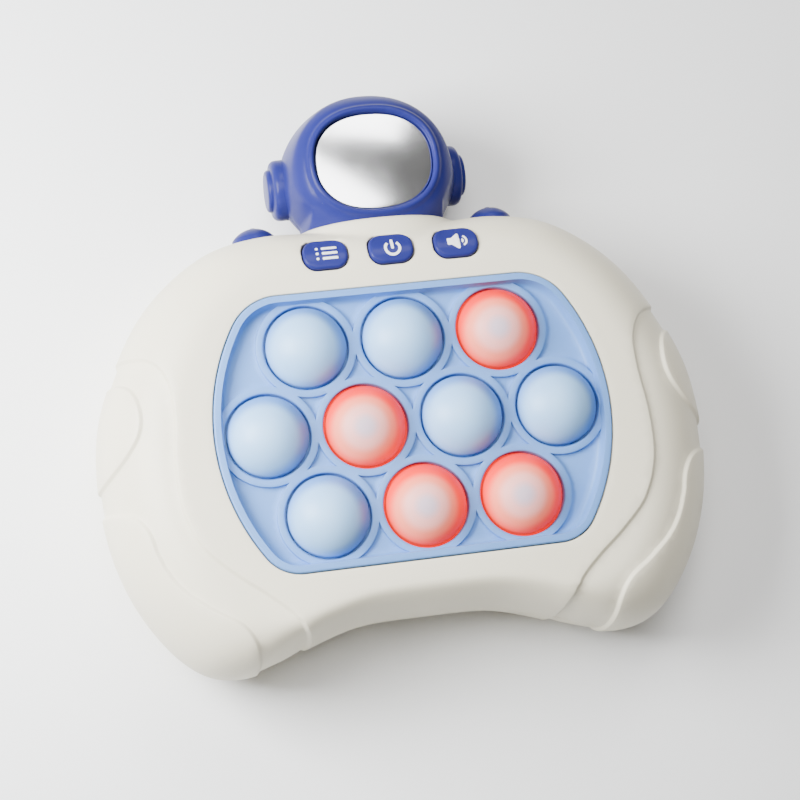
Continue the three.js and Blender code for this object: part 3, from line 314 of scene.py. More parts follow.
class Skin:
    """One half's outer surface: a flat middle, and sides that fall on quarter ellipses to the parting."""

    def __init__(self, side, flat):
        self.side = side
        self.flat = flat
        self.height = BODY_THICKNESS - PARTING_HEIGHT if side == FRONT else PARTING_HEIGHT
        self.reach = widest - flat
        self.span = np.linalg.norm(self.reach, axis=1)
        self.outwards = self.reach / self.span[:, None]
        self.profile = math.pi / 2 * np.sqrt((self.span**2 + self.height**2) / 2)

    def station(self, points):
        """Place along the outline, and distance outside the flat, of each point."""
        stations = np.zeros(len(points))
        distances = np.zeros(len(points))
        across = np.column_stack([-self.outwards[:, 1], self.outwards[:, 0]])
        for start in range(0, len(points), BATCH):
            batch = slice(start, start + BATCH)
            offset = points[batch, None] - self.flat[None]
            ahead = np.einsum("jk,ijk->ij", self.outwards, offset)
            aside = np.einsum("jk,ijk->ij", across, offset)
            following = np.roll(aside, -1, axis=1)
            crossed = (aside >= 0) & (following < 0) & (ahead > -0.01)
            cost = np.where(crossed, ahead, np.inf)
            nearest = cost.argmin(axis=1)
            rows = np.arange(len(nearest))
            before, after = aside[rows, nearest], following[rows, nearest]
            stations[batch] = nearest + before / np.where(before - after == 0, 1, before - after)
            least = cost[rows, nearest]
            distances[batch] = np.where(np.isfinite(least), least, 0)
        distances[inside(self.flat, points)] = 0
        return stations, np.maximum(distances, 0)

    def at(self, values, stations):
        low = np.floor(stations).astype(int)
        share = stations - low
        share = share[:, None] if values.ndim == 2 else share
        return values[low % len(values)] * (1 - share) + values[(low + 1) % len(values)] * share

    def unroll(self, points):
        """Layout places of points that are given in plan."""
        stations, distances = self.station(points)
        share = distances / self.at(self.span, stations)
        rolled = np.arcsin(np.minimum(share, 1)) / (math.pi / 2) + np.maximum(share - 1, 0)
        laid = self.at(self.flat, stations) + self.at(self.outwards, stations) * (
            rolled * self.at(self.profile, stations))[:, None]
        return np.where((distances > 0)[:, None], laid, points)

    def level_line(self, xs, heights):
        """Layout places, near the top edge, of points given by x and by height off the parting plane."""
        angles = np.arccos(np.clip(np.asarray(heights) / self.height, 0, 1))
        top = np.flatnonzero((self.flat[:, 1] > 0) & (np.abs(widest[:, 0]) < BODY_WIDTH * 0.35))
        laid = []
        for x, angle in zip(xs, angles):
            across = self.flat[top, 0] + self.reach[top, 0] * math.sin(angle)
            station = np.array([np.interp(-x, -across, top)])
            rolled = self.at(self.profile, station)[:, None] * angle / (math.pi / 2)
            laid.append((self.at(self.flat, station) + self.at(self.outwards, station) * rolled)[0])
        return np.array(laid)

    def surface(self, points):
        """Points on the skin and their outward directions, from layout places."""
        stations, distances = self.station(points)
        angle = (math.pi / 2 * distances / self.at(self.profile, stations))[:, None]
        sine, cosine = np.sin(angle), np.cos(angle)
        reach = self.at(self.reach, stations)
        outside = (distances > 0)[:, None]
        plan = np.where(outside, self.at(self.flat, stations) + reach * sine, points)
        rise = self.side * self.height
        flat_step = np.roll(self.flat, -1, 0) - np.roll(self.flat, 1, 0)
        reach_step = np.roll(self.reach, -1, 0) - np.roll(self.reach, 1, 0)
        along = self.at(flat_step, stations) + self.at(reach_step, stations) * sine
        down = np.column_stack([reach * cosine, -rise * sine])
        normal = -self.side * np.cross(np.column_stack([along, np.zeros(len(along))]), down)
        normal /= np.maximum(np.linalg.norm(normal, axis=1), 1e-9)[:, None]
        normal = np.where(outside, normal, (0, 0, self.side))
        return np.column_stack([plan, PARTING_HEIGHT + rise * cosine]), normal


def used_only(corners, faces):
    """The corners that the faces use, and the faces numbered by them."""
    used, renumbered = np.unique(faces, return_inverse=True)
    return corners[used], renumbered.reshape(faces.shape)


def mesh_region(outer, holes, lines, spacing):
    """Triangles of a flat region: the outer loop less the holes, with the lines kept as edges."""
    points, edges = [], []
    for k, line in enumerate([outer, *holes, *lines]):
        first = len(points)
        points.extend(line.tolist())
        edges.extend((first + i, first + i + 1) for i in range(len(line) - 1))
        if k <= len(holes):
            edges.append((first + len(line) - 1, first))
    near = KDTree(len(points))
    for i, (x, y) in enumerate(points):
        near.insert((x, y, 0), i)
    near.balance()
    low, high = outer.min(axis=0), outer.max(axis=0)
    row_height = spacing * math.sin(math.pi / 3)
    for row in range(int((high[1] - low[1]) / row_height) + 1):
        y = low[1] + row * row_height
        for x in np.arange(low[0] + (row % 2) * spacing / 2, high[0], spacing):
            if near.find((x, y, 0))[2] > 0.45 * spacing:
                points.append([x, y])
    result = delaunay_2d_cdt([Vector(point) for point in points], edges, [], 0, 1e-4, False)
    corners = np.array([tuple(point) for point in result[0]])
    faces = np.array([tuple(face) for face in result[2]])
    centres = corners[faces].mean(axis=1)
    keep = inside(outer, centres)
    for hole in holes:
        keep &= ~inside(hole, centres)
    return used_only(corners, faces[keep])


def open_loops(faces):
    """Loops of corners along a mesh's open edges, with the mesh on their left."""
    steps = {(face[i], face[(i + 1) % 3]) for face in faces.tolist() for i in range(3)}
    following = {a: b for a, b in steps if (b, a) not in steps}
    loops = []
    while following:
        first, here = following.popitem()
        loop = [first]
        while here != first:
            loop.append(here)
            here = following.pop(here)
        loops.append(loop)
    return loops


def roll_edge(points, faces, loop, towards, radius, depth, steps=4):
    """Rounds the edge along a loop over and carries it inwards, the way that towards points."""
    rim = np.array([points[i] for i in loop])
    along = np.roll(rim, -1, axis=0) - np.roll(rim, 1, axis=0)
    away = np.cross(along, -towards)
    away /= np.maximum(np.linalg.norm(away, axis=1), 1e-9)[:, None]
    rings = [loop]
    turns = [math.pi / 2 * (k + 1) / steps for k in range(steps)]
    places = [(radius * math.sin(turn), radius * (1 - math.cos(turn))) for turn in turns]
    for out, inwards in [*places, (radius, radius + depth)]:
        first = len(points)
        points.extend((rim + away * out + towards * inwards).tolist())
        rings.append(list(range(first, first + len(loop))))
    count = len(loop)
    for outer, inner in zip(rings, rings[1:]):
        for k in range(count):
            after = (k + 1) % count
            faces.append((outer[after], outer[k], inner[k], inner[after]))
    return rings[-1]


def smooth_piece(name, mesh, sharp):
    mesh.polygons.foreach_set("use_smooth", [True] * len(mesh.polygons))
    mesh.set_sharp_from_angle(angle=math.radians(sharp))
    piece = bpy.data.objects.new(name, mesh)
    bpy.context.scene.collection.objects.link(piece)
    return piece


def new_piece(name, points, faces, finish, sharp=40):
    mesh = bpy.data.meshes.new(name)
    corners = [tuple(int(i) for i in face) for face in faces]
    mesh.from_pydata((np.asarray(points, float) * MM).tolist(), [], corners)
    mesh.materials.append(finish.material)
    return smooth_piece(name, mesh, sharp)


def oval(half_width, half_height, power, angles):
    unit = np.column_stack([np.cos(angles), np.sin(angles)])
    return np.sign(unit) * np.abs(unit) ** (2 / power) * (half_width, half_height)


def arc(centre, radius, start, end, count):
    angles = np.linspace(start, end, count)
    return np.column_stack([centre[0] + radius * np.cos(angles), centre[1] + radius * np.sin(angles)])


def rounded_box(width, depth, corner, x=0.0, y=0.0, count=8):
    right, top = width / 2 - corner, depth / 2 - corner
    centres = [(x + right, y - top), (x + right, y + top), (x - right, y + top), (x - right, y - top)]
    quarter = math.pi / 2
    return np.concatenate([
        arc(centre, corner, quarter * (k - 1), quarter * k, count) for k, centre in enumerate(centres)
    ])


def circle(x, y, radius, count=48):
    return arc((x, y), radius, 0, 2 * math.pi * (1 - 1 / count), count)


def rejoined(loop):
    """The loop with its first point again at the end."""
    return np.concatenate([loop, loop[:1]])


def dense(loop, spacing):
    pieces = []
    for a, b in zip(loop, rejoined(loop)[1:]):
        steps = max(1, int(np.linalg.norm(b - a) / spacing))
        pieces.append(a + (b - a) * (np.arange(steps) / steps)[:, None])
    return np.concatenate(pieces)


PANEL_WIDTH = 110.0
PANEL_HEIGHT = 76.17
PANEL_SIDE_RADIUS = 59.6
PANEL_UPPER_CORNER = 15.0
PANEL_LOWER_CORNER = 11.5


def panel_outline(grow):
    """The panel's outline moved outwards: two flats, two bowed sides and four tangent corners."""
    half_width, half_height = PANEL_WIDTH / 2 + grow, PANEL_HEIGHT / 2 + grow
    side = PANEL_SIDE_RADIUS + grow
    side_x = half_width - side
    corners = []
    for corner in (PANEL_UPPER_CORNER + grow, PANEL_LOWER_CORNER + grow):
        y = half_height - corner
        x = side_x + math.sqrt((side - corner) ** 2 - y**2)
        corners.append((corner, x, y, math.atan2(y, x - side_x)))
    (upper, upper_x, upper_y, upper_turn), (lower, lower_x, lower_y, lower_turn) = corners
    quarter = math.pi / 2
    return np.concatenate([
        arc((side_x, 0), side, -lower_turn, upper_turn, 60)[:-1],
        arc((upper_x, upper_y), upper, upper_turn, quarter, 14),
        arc((-upper_x, upper_y), upper, quarter, 2 * quarter - upper_turn, 14)[:-1],
        arc((-side_x, 0), side, 2 * quarter - upper_turn, 2 * quarter + lower_turn, 60)[:-1],
        arc((-lower_x, -lower_y), lower, 2 * quarter + lower_turn, 3 * quarter, 14),
        arc((lower_x, -lower_y), lower, 3 * quarter, 4 * quarter - lower_turn, 14)[:-1],
    ])


BUTTON_WIDTH = 12.5
BUTTON_DEPTH = 8.8
BUTTON_CORNER = 3.7
BUTTON_PITCH = 18.5
BUTTON_Y = 48.68
button_xs = [-BUTTON_PITCH, 0.0, BUTTON_PITCH]

cream = Finish("cream plastic", (0.81, 0.755, 0.595), 0.42).mottle(18, 0.012)
cream.grain(2600, 0.012, 0.38, 0.47)
cream.set("Specular IOR Level", 0.4)


def neck_gap(x, height, thickness):
    """Distance outside the neck's oval, nearly, of points at x and at a height off the parting plane."""
    across, up = np.abs(x) / (NECK_WIDTH / 2), np.abs(height) / (thickness / 2)
    share = np.maximum(across**NECK_POWER + up**NECK_POWER, 1e-6) ** (1 / NECK_POWER)
    return (1 - 1 / share) * np.hypot(x, height)


def housing_half(side, flat, holes, hole_depths):
    """One half's outside with its holes' walls: points, faces, and pairs of hole number and rim."""
    skin = Skin(side, flat)
    edge_angle = math.acos((GAP / 2 + EDGE_RADIUS) / skin.height)
    outer = skin.flat + skin.outwards * (skin.profile * edge_angle / (math.pi / 2))[:, None]
    outer = outer[::2]

    waves = []
    for hand in (1, -1):
        for shares in (BAND_SHARES, UPPER_ISLAND_SHARES, LOWER_ISLAND_SHARES):
            plan = even_steps(smooth_curve(np.array(shares) * half_body, 12, False), 0.5) * (hand, 1)
            waves.append(even_steps(skin.unroll(plan), LINE_SPACING))
    far = np.array([[BODY_WIDTH, -BODY_DEPTH], [BODY_WIDTH, BODY_DEPTH]])
    lines = [offset_line(line, WAVE_EDGE * share) for line in waves for share in WAVE_LINES]
    half_turn = np.linspace(0, math.pi, 140)
    collar_thickness = COLLAR_FRONT_THICKNESS if side == FRONT else NECK_THICKNESS

    def neck_line(grow, thickness):
        line = oval(NECK_WIDTH / 2 + grow, thickness / 2 + grow, NECK_POWER, half_turn)
        return even_steps(skin.level_line(*line.T), LINE_SPACING)

    lines += [neck_line(grow, collar_thickness) for grow in COLLAR_LINES]
    top_cuts = [neck_line(GAP, NECK_THICKNESS)]
    for hand in (1, -1):
        shoulder_hole = arc((hand * SHOULDER_X, 0), SHOULDER_RADIUS + GAP, 0, math.pi, 40)
        top_cuts.append(skin.level_line(*shoulder_hole.T))
    lines += top_cuts
    cut_regions = [
        np.concatenate([line, line[-1:] + BEYOND_EDGE, line[:1] + BEYOND_EDGE]) for line in top_cuts
    ]

    layout_holes = [skin.unroll(hole) for hole in holes]
    places, triangles = mesh_region(outer, layout_holes, lines, SKIN_SPACING)
    centres = places[triangles].mean(axis=1)
    kept = ~np.any([inside(region, centres) for region in cut_regions], axis=0)
    places, triangles = used_only(places, triangles[kept])

    points, normals = skin.surface(places)
    depth = np.zeros(len(places))
    for hand, grip in zip((1, -1), (waves[:3], waves[3:])):
        shares = []
        for line in grip:
            signed = distance_to(line, places)
            region = np.concatenate([line, far * (hand, 1)])
            shares.append(soft_step(np.where(inside(region, places), signed, -signed) / WAVE_EDGE + 0.5))
        band, upper_island, lower_island = shares
        depth += WAVE_DEPTH * band * (1 - upper_island) * (1 - lower_island)
    near_neck = places[:, 1] > BODY_DEPTH * 0.3
    off_parting = points[:, 2] - PARTING_HEIGHT
    from_neck = neck_gap(points[:, 0], off_parting, collar_thickness)
    swell = 1 - soft_step((from_neck - COLLAR_LIP) / (COLLAR_REACH - COLLAR_LIP))
    below_lip = COLLAR_Y - COLLAR_LEAN * np.abs(off_parting) - points[:, 1]
    swell = np.where(near_neck, swell * np.maximum(below_lip, 0), 0)
    points = (points - normals * depth[:, None] + swell[:, None] * (0, 1, 0)).tolist()
    if side == REAR:
        triangles = triangles[:, ::-1]
    faces = triangles.tolist()
    inner = []
    hole_middles = [hole.mean(axis=0) for hole in layout_holes]
    for loop in open_loops(triangles):
        if np.ptp(places[loop][:, 0]) > BODY_WIDTH * 0.9:
            roll_edge(points, faces, loop, -normals[loop], EDGE_RADIUS, WALL)
            continue
        middle = places[loop].mean(axis=0)
        which = int(np.argmin([np.linalg.norm(middle - hole) for hole in hole_middles]))
        inner.append((which, roll_edge(points, faces, loop, -side * UP, EDGE_RADIUS, hole_depths[which])))
    return points, faces, inner


well_grow = GAP + EDGE_RADIUS
front_holes = [dense(panel_outline(well_grow), 1.0)]
for x in button_xs:
    well = rounded_box(
        BUTTON_WIDTH + 2 * well_grow, BUTTON_DEPTH + 2 * well_grow, BUTTON_CORNER + well_grow, x, BUTTON_Y)
    front_holes.append(dense(well, 0.6))
front_depths = [PANEL_WELL_DEPTH, *[BUTTON_WELL_DEPTH] * len(button_xs)]
front_points, front_faces, _ = housing_half(FRONT, face_outline, front_holes, front_depths)
front_skin = new_piece("front_skin", front_points, front_faces, cream)
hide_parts("front_housing")
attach(front_skin, "base")


# Rear housing
# The back half of the body, flat where it rests on the table. It holds six deep screw wells, five grille
# slots over the loudspeaker, and the battery bay with a seat for its door and a boss for each screw.

WELL_RADIUS = 2.9
WELL_DEPTH = 12.0
BAY_HALF_LENGTH = 28.0
BAY_DEPTH = 44.4
BAY_MIDDLE_Y = 26.18
BAY_TOP = 18.2
BAY_EDGE = 0.15
DOOR_LAP = 1.3
DOOR_RECESS = 0.3
DOOR_THICKNESS = 2.0
DOOR_EAR_X = 32.2
DOOR_EAR_RADIUS = 4.6
SCREW_HOLE_RADIUS = 1.5
BOSS_DEPTH = 8.0
SPEAKER_Y = -21.11
GRILLE_RADIUS = 14.0
GRILLE_SLOT = 2.2
GRILLE_PITCH = 5.0
HOUSING_SCREW_SHARES = [(0.717, 0.529), (0.809, -0.16), (0.578, -0.801)]
door_seat = DOOR_RECESS + DOOR_THICKNESS + GAP
housing_screws = [
    np.array([hand * x, y]) * half_body for x, y in HOUSING_SCREW_SHARES for hand in (1, -1)
]


def door_outline(grow):
    """The battery door's outline: a rectangle with a round screw ear on each short side."""
    half_width = BAY_HALF_LENGTH + DOOR_LAP + grow
    half_depth = BAY_DEPTH / 2 + DOOR_LAP + grow
    corner = DOOR_LAP + GAP + grow
    ear = DOOR_EAR_RADIUS + grow
    spread = math.acos((half_width - DOOR_EAR_X) / ear)
    quarter = math.pi / 2
    right = np.concatenate([
        arc((half_width - corner, corner - half_depth), corner, -quarter, 0, 8),
        arc((DOOR_EAR_X, 0), ear, -spread, spread, 32),
        arc((half_width - corner, half_depth - corner), corner, 0, quarter, 8),
    ])
    return np.concatenate([right, -right]) + (0, BAY_MIDDLE_Y)


wells = [circle(x, y, WELL_RADIUS + EDGE_RADIUS, 32) for x, y in housing_screws]
rear_holes = [dense(door_outline(GAP + EDGE_RADIUS), 1.2), *wells]
for place in range(-2, 3):
    x = place * GRILLE_PITCH
    width = GRILLE_SLOT + 2 * EDGE_RADIUS
    length = 2 * (math.sqrt(GRILLE_RADIUS**2 - x**2) + EDGE_RADIUS)
    rear_holes.append(dense(rounded_box(width, length, width / 2 - 0.01, x, SPEAKER_Y), 1.5))
slot_count = len(rear_holes) - len(wells) - 1
rear_depths = np.array([door_seat, *[WELL_DEPTH] * len(wells), *[WALL] * slot_count]) - EDGE_RADIUS
rear_points, rear_faces, rear_rims = housing_half(REAR, rest_outline, rear_holes, rear_depths)
for which, rim in rear_rims:
    if 0 < which <= len(wells):
        rear_faces.append(tuple(rim))


def add_flat(points, faces, outer, holes, height, side, spacing=4.0):
    """A level patch added to a piece; gives its open loops, longest first."""
    places, triangles = mesh_region(outer, holes, [], spacing)
    if side == REAR:
        triangles = triangles[:, ::-1]
    first = len(points)
    points.extend([x, y, height] for x, y in places)
    faces.extend((triangles + first).tolist())
    loops = [[i + first for i in loop] for loop in open_loops(triangles)]
    return sorted(loops, key=lambda loop: -np.ptp(np.array([points[i][0] for i in loop])))


bay_outline = rounded_box(2 * BAY_HALF_LENGTH, BAY_DEPTH, 0.6, 0, BAY_MIDDLE_Y, 4)
boss_holes = [circle(hand * DOOR_EAR_X, BAY_MIDDLE_Y, SCREW_HOLE_RADIUS, 20) for hand in (1, -1)]
seat_holes = [bay_outline, *boss_holes]
_, *seat_loops = add_flat(rear_points, rear_faces, door_outline(GAP), seat_holes, door_seat, REAR)
for k, loop in enumerate(seat_loops):
    depth = BOSS_DEPTH if k else BAY_TOP - door_seat
    rear_faces.append(roll_edge(rear_points, rear_faces, loop, UP, BAY_EDGE, depth, 2))
rear_skin = new_piece("rear_skin", rear_points, rear_faces, cream)
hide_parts("rear_housing")
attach(rear_skin, "base")


# Battery door
# A flat cream cover sunk a little into the back, moulded in one piece with a screw ear at each end and a
# row of low ribs for the thumb across its middle. A node tree puts a rib at each place of the row.

HEAD_RECESS = 1.3
DOOR_EDGE = 0.35
RIB_COUNT = 7
RIB_PITCH = 2.4
RIB_SIZES = {"Rib Length": 18.0, "Rib Width": 1.1, "Rib Height": 0.22}

door_points, door_faces = [], []
head_holes = [circle(hand * DOOR_EAR_X, BAY_MIDDLE_Y, WELL_RADIUS + DOOR_EDGE, 28) for hand in (1, -1)]
door_loops = add_flat(
    door_points, door_faces, dense(door_outline(-DOOR_EDGE), 1.5), head_holes, DOOR_RECESS, REAR)
for k, loop in enumerate(door_loops):
    depth = HEAD_RECESS if k else DOOR_THICKNESS
    door_faces.append(roll_edge(door_points, door_faces, loop, UP, DOOR_EDGE, depth - DOOR_EDGE))
door_cover = new_piece("door_cover", door_points, door_faces, cream)


class PieceTree:
    """A node tree that puts a shape at each starting point, with its sizes as named inputs."""

    def __init__(self, name, sizes):
        self.tree = bpy.data.node_groups.new(name, "GeometryNodeTree")
        self.tree.interface.new_socket("Geometry", in_out="INPUT", socket_type="NodeSocketGeometry")
        for size, value in sizes.items():
            socket = self.tree.interface.new_socket(size, in_out="INPUT", socket_type="NodeSocketFloat")
            socket.default_value = value * MM
        self.tree.interface.new_socket("Material", in_out="INPUT", socket_type="NodeSocketMaterial")
        self.tree.interface.new_socket("Geometry", in_out="OUTPUT", socket_type="NodeSocketGeometry")
        self.sizes = sizes
        self.given = self.tree.nodes.new("NodeGroupInput").outputs

    def node(self, kind, inputs, **settings):
        """A new node's first output; each input is given a number or another node's output."""
        node = self.tree.nodes.new(kind)
        for setting, value in settings.items():
            setattr(node, setting, value)
        for name, value in inputs.items():
            if isinstance(value, bpy.types.NodeSocket):
                self.tree.links.new(value, node.inputs[name])
            else:
                node.inputs[name].default_value = value
        return node.outputs[0]

    def math(self, operation, first, second=0.0):
        return self.node("ShaderNodeMath", {0: first, 1: second}, operation=operation)

    def vector(self, x=0.0, y=0.0, z=0.0):
        return self.node("ShaderNodeCombineXYZ", {0: x, 1: y, 2: z})

    def moved(self, geometry, **changes):
        inputs = {name.title(): value for name, value in changes.items()}
        return self.node("GeometryNodeTransform", {"Geometry": geometry, **inputs})

    def joined(self, *shapes):
        node = self.tree.nodes.new("GeometryNodeJoinGeometry")
        for shape in shapes:
            self.tree.links.new(shape, node.inputs[0])
        return node.outputs[0]

    def close(self, shape):
        start, material = self.given["Geometry"], self.given["Material"]
        copies = self.node("GeometryNodeInstanceOnPoints", {"Points": start, "Instance": shape})
        real = self.node("GeometryNodeRealizeInstances", {"Geometry": copies})
        coated = self.node("GeometryNodeSetMaterial", {"Geometry": real, "Material": material})
        result = self.tree.nodes.new("NodeGroupOutput")
        self.tree.links.new(coated, result.inputs["Geometry"])

    def run(self, name, places, finish, sharp=40, **changes):
        """The plain piece that the tree makes at some places."""
        start = bpy.data.meshes.new(name)
        start.from_pydata([tuple(np.array(place) * MM) for place in places], [], [])
        maker = bpy.data.objects.new(name + "_places", start)
        bpy.context.scene.collection.objects.link(maker)
        modifier = maker.modifiers.new("shape", "NODES")
        modifier.node_group = self.tree
        wanted = {**self.sizes}
        wanted.update({key.replace("_", " ").title(): value for key, value in changes.items()})
        for item in self.tree.interface.items_tree:
            if item.in_out == "INPUT" and item.name in wanted:
                modifier[item.identifier] = wanted[item.name] * MM
            elif item.in_out == "INPUT" and item.name == "Material":
                modifier[item.identifier] = finish.material
        finished = maker.evaluated_get(bpy.context.evaluated_depsgraph_get())
        mesh = bpy.data.meshes.new_from_object(finished)
        bpy.data.objects.remove(maker)
        return smooth_piece(name, mesh, sharp)


rib_tree = PieceTree("thumb ribs", RIB_SIZES)
half_width = rib_tree.math("MULTIPLY", rib_tree.given["Rib Width"], 0.5)
bar = rib_tree.node("GeometryNodeMeshCylinder", {
    "Vertices": 20, "Side Segments": 1, "Radius": half_width, "Depth": rib_tree.given["Rib Length"]})
flatness = rib_tree.math("DIVIDE", rib_tree.given["Rib Height"], half_width)
laid = rib_tree.moved(bar, rotation=(0, math.pi / 2, 0))
rib_tree.close(rib_tree.moved(laid, scale=rib_tree.vector(1.0, 1.0, flatness)))
rib_places = [
    (0, BAY_MIDDLE_Y + (k - (RIB_COUNT - 1) / 2) * RIB_PITCH, DOOR_RECESS) for k in range(RIB_COUNT)
]
thumb_ribs = rib_tree.run("thumb_ribs", rib_places, cream)
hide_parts("battery_door")
for piece in (door_cover, thumb_ribs):
    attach(piece, "door")


# Screws
# Pan-head steel screws with a cross recess, all of one make: six hold the housing halves together and
# two captive ones hold the battery door. One node tree puts a screw at each place.

steel = Finish("bright steel", (0.56, 0.57, 0.58), 0.28, 1.0).mottle(900, 0.08)
steel.link(steel.shift(steel.noise(1500), 0.2, 0.38), steel.shader.inputs["Roughness"])

SCREW_SIZES = {
    "Head Radius": 2.6, "Head Height": 1.0, "Slot Length": 2.6, "Slot Width": 0.6, "Slot Depth": 0.7,
    "Shank Radius": 1.2, "Shank Length": 8.0,
}
HEAD_TAPER_SHARE = 0.82
HOUSING_SCREW_SEAT = 11.7
HOUSING_SCREW_TIP = 36.0
HOUSING_HEAD_HEIGHT = 1.9
DOOR_SCREW_TIP = 9.0

screw_tree = PieceTree("screws at places", SCREW_SIZES)
size = screw_tree.given
head = screw_tree.node("GeometryNodeMeshCone", {
    "Vertices": 28, "Radius Top": size["Head Radius"], "Depth": size["Head Height"],
    "Radius Bottom": screw_tree.math("MULTIPLY", size["Head Radius"], HEAD_TAPER_SHARE)})
slot_depth = screw_tree.math("MULTIPLY", size["Slot Depth"], 2.0)
arms = [
    screw_tree.node("GeometryNodeMeshCube", {"Size": screw_tree.vector(across, along, slot_depth)})
    for across, along in (
        (size["Slot Length"], size["Slot Width"]),
        (size["Slot Width"], size["Slot Length"]),
    )
]
cross = screw_tree.joined(*arms)
recessed = screw_tree.node("GeometryNodeMeshBoolean", {0: head, 1: cross}, operation="DIFFERENCE")
shank = screw_tree.node("GeometryNodeMeshCylinder", {
    "Vertices": 16, "Radius": size["Shank Radius"], "Depth": size["Shank Length"]})
raised = screw_tree.moved(shank, translation=screw_tree.vector(
    z=screw_tree.math("MULTIPLY", size["Shank Length"], 0.5)))
screw_tree.close(screw_tree.joined(recessed, raised))

head_middle = HOUSING_SCREW_SEAT - HOUSING_HEAD_HEIGHT / 2
housing_screw_set = screw_tree.run(
    "housing_screw_set", [(x, y, head_middle) for x, y in housing_screws], steel,
    head_height=HOUSING_HEAD_HEIGHT, shank_length=HOUSING_SCREW_TIP - head_middle, slot_depth=1.4,
)
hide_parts(*[f"housing_screw_{k + 1}" for k in range(6)])
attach(housing_screw_set, "base")

door_head_middle = DOOR_RECESS + SCREW_SIZES["Head Height"] / 2
door_screw_set = screw_tree.run(
    "door_screw_set", [(hand * DOOR_EAR_X, BAY_MIDDLE_Y, door_head_middle) for hand in (-1, 1)], steel,
    shank_length=DOOR_SCREW_TIP - door_head_middle,
)
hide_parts("battery_door_screw_1", "battery_door_screw_2")
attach(door_screw_set, "door")


# Silicone panel
# One soft light-blue moulding with a raised flat rim, a round collar about each bubble, and shallow pits
# between the collars. It is clamped from behind and stands a little proud of the housing.

BUBBLE_PITCH = 27.0
BUBBLE_RADIUS = 11.5
BUBBLE_SEAT = 42.0
COLLAR_RADIUS = 13.9
RIM_WIDTH = 1.9
RIM_HEIGHT = 44.5
PIT_HEIGHT = 40.7
RIM_FOOT = 2.0
COLLAR_SLOPE = 0.22
RIM_EDGE = 0.45
HOLE_EDGE = 0.5
PANEL_SPACING = 1.5
PANEL_SKIRT = 4.5
HOLE_SKIRT = 3.0
FOOT_LINES = (-0.1, 0, 0.08, 0.18, 0.32, 0.5, 0.75)
SLOPE_LINES = (-0.6, -0.42, -0.2, 0, 0.2, 0.42, 0.6)
rows = [3, 4, 3]
bubble_places = [
    ((i - (count - 1) / 2) * BUBBLE_PITCH, (1 - row) * BUBBLE_PITCH * math.sin(math.pi / 3))
    for row, count in enumerate(rows) for i in range(count)
]
SILICONE_BLUE = (0.13, 0.29, 0.64)
silicone = Finish("blue silicone", SILICONE_BLUE, 0.45).mottle(40, 0.03).grain(1800, 0.015, 0.4, 0.52)
silicone.glow_inside(0.12, 0.8)
silicone.set("Specular IOR Level", 0.4)
silicone.set("Sheen Weight", 0.08)
silicone.set("Sheen Roughness", 0.4)

panel_edge = dense(panel_outline(-RIM_EDGE), 1.0)
panel_holes = [circle(x, y, BUBBLE_RADIUS + GAP + HOLE_EDGE, 72) for x, y in bubble_places]
panel_lines = [rejoined(dense(panel_outline(-RIM_WIDTH - RIM_FOOT * share), 0.8)) for share in FOOT_LINES]
for x, y in bubble_places:
    panel_lines += [
        rejoined(circle(x, y, COLLAR_RADIUS + COLLAR_SLOPE * share, 96)) for share in SLOPE_LINES
    ]
places, triangles = mesh_region(panel_edge, panel_holes, panel_lines, PANEL_SPACING)
rim_distance = distance_to(dense(panel_outline(0), 1.0), places, closed=True)
collar_distance = np.min([np.hypot(*(places - middle).T) for middle in bubble_places], axis=0)
foot_share = np.clip(1 - (rim_distance - RIM_WIDTH) / RIM_FOOT, 0, 1)
rim_part = PIT_HEIGHT + (RIM_HEIGHT - PIT_HEIGHT) * foot_share**4
collar_part = BUBBLE_SEAT - (BUBBLE_SEAT - PIT_HEIGHT) * soft_step(
    (collar_distance - COLLAR_RADIUS) / COLLAR_SLOPE + 0.5)
panel_points = np.column_stack([places, np.maximum(rim_part, collar_part)]).tolist()
panel_faces = triangles.tolist()
for loop in open_loops(triangles):
    outermost = np.ptp(places[loop][:, 0]) > PANEL_WIDTH / 2
    edge, skirt = (RIM_EDGE, PANEL_SKIRT) if outermost else (HOLE_EDGE, HOLE_SKIRT)
    roll_edge(panel_points, panel_faces, loop, -UP, edge, skirt)
panel_skin = new_piece("panel_skin", panel_points, panel_faces, silicone)
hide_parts("bubble_panel")
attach(panel_skin, "base")


# Bubbles
# Ten hollow silicone caps that a thumb presses down, all of one round form that a node tree works out
# from its radius and crown. Four are lit: their lamps' red through the wall is emission, with painted
# shade of the press rod's end in the middle. The attribute holds the distance from a point set a little to
# the lower left, as a share of the radius; the colour ramps on it paint shade, deepest on the upper right.

BUBBLE_SIZES = {
    "Radius": 11.1, "Crown": 7.6, "Wall": 1.3, "Foot": 1.0, "Foot Height": 1.1, "Skirt": 4.4,
    "Shade Shift": 1.3,
}
FOOT_BOTTOM = 37.6
ROUND_STEPS = 72
PROFILE_STEPS = 40
LIT_BUBBLES = (3, 5, 9, 10)


def bubble_finish(name, stops, roughness=0.42):
    """A silicone whose colour follows the distance from a point a little off the middle, and so paints
    shade.
    """
    finish = Finish(name, stops[-1][1], roughness).grain(1800, 0.012, roughness - 0.05, roughness + 0.07)
    finish.glow_inside(0.15, 1.0)
    outwards = finish.nodes.new("ShaderNodeAttribute")
    outwards.attribute_name = "outwards"
    finish.link(finish.ramp(outwards.outputs["Fac"], stops), finish.shader.inputs["Base Color"])
    return finish, outwards.outputs["Fac"]
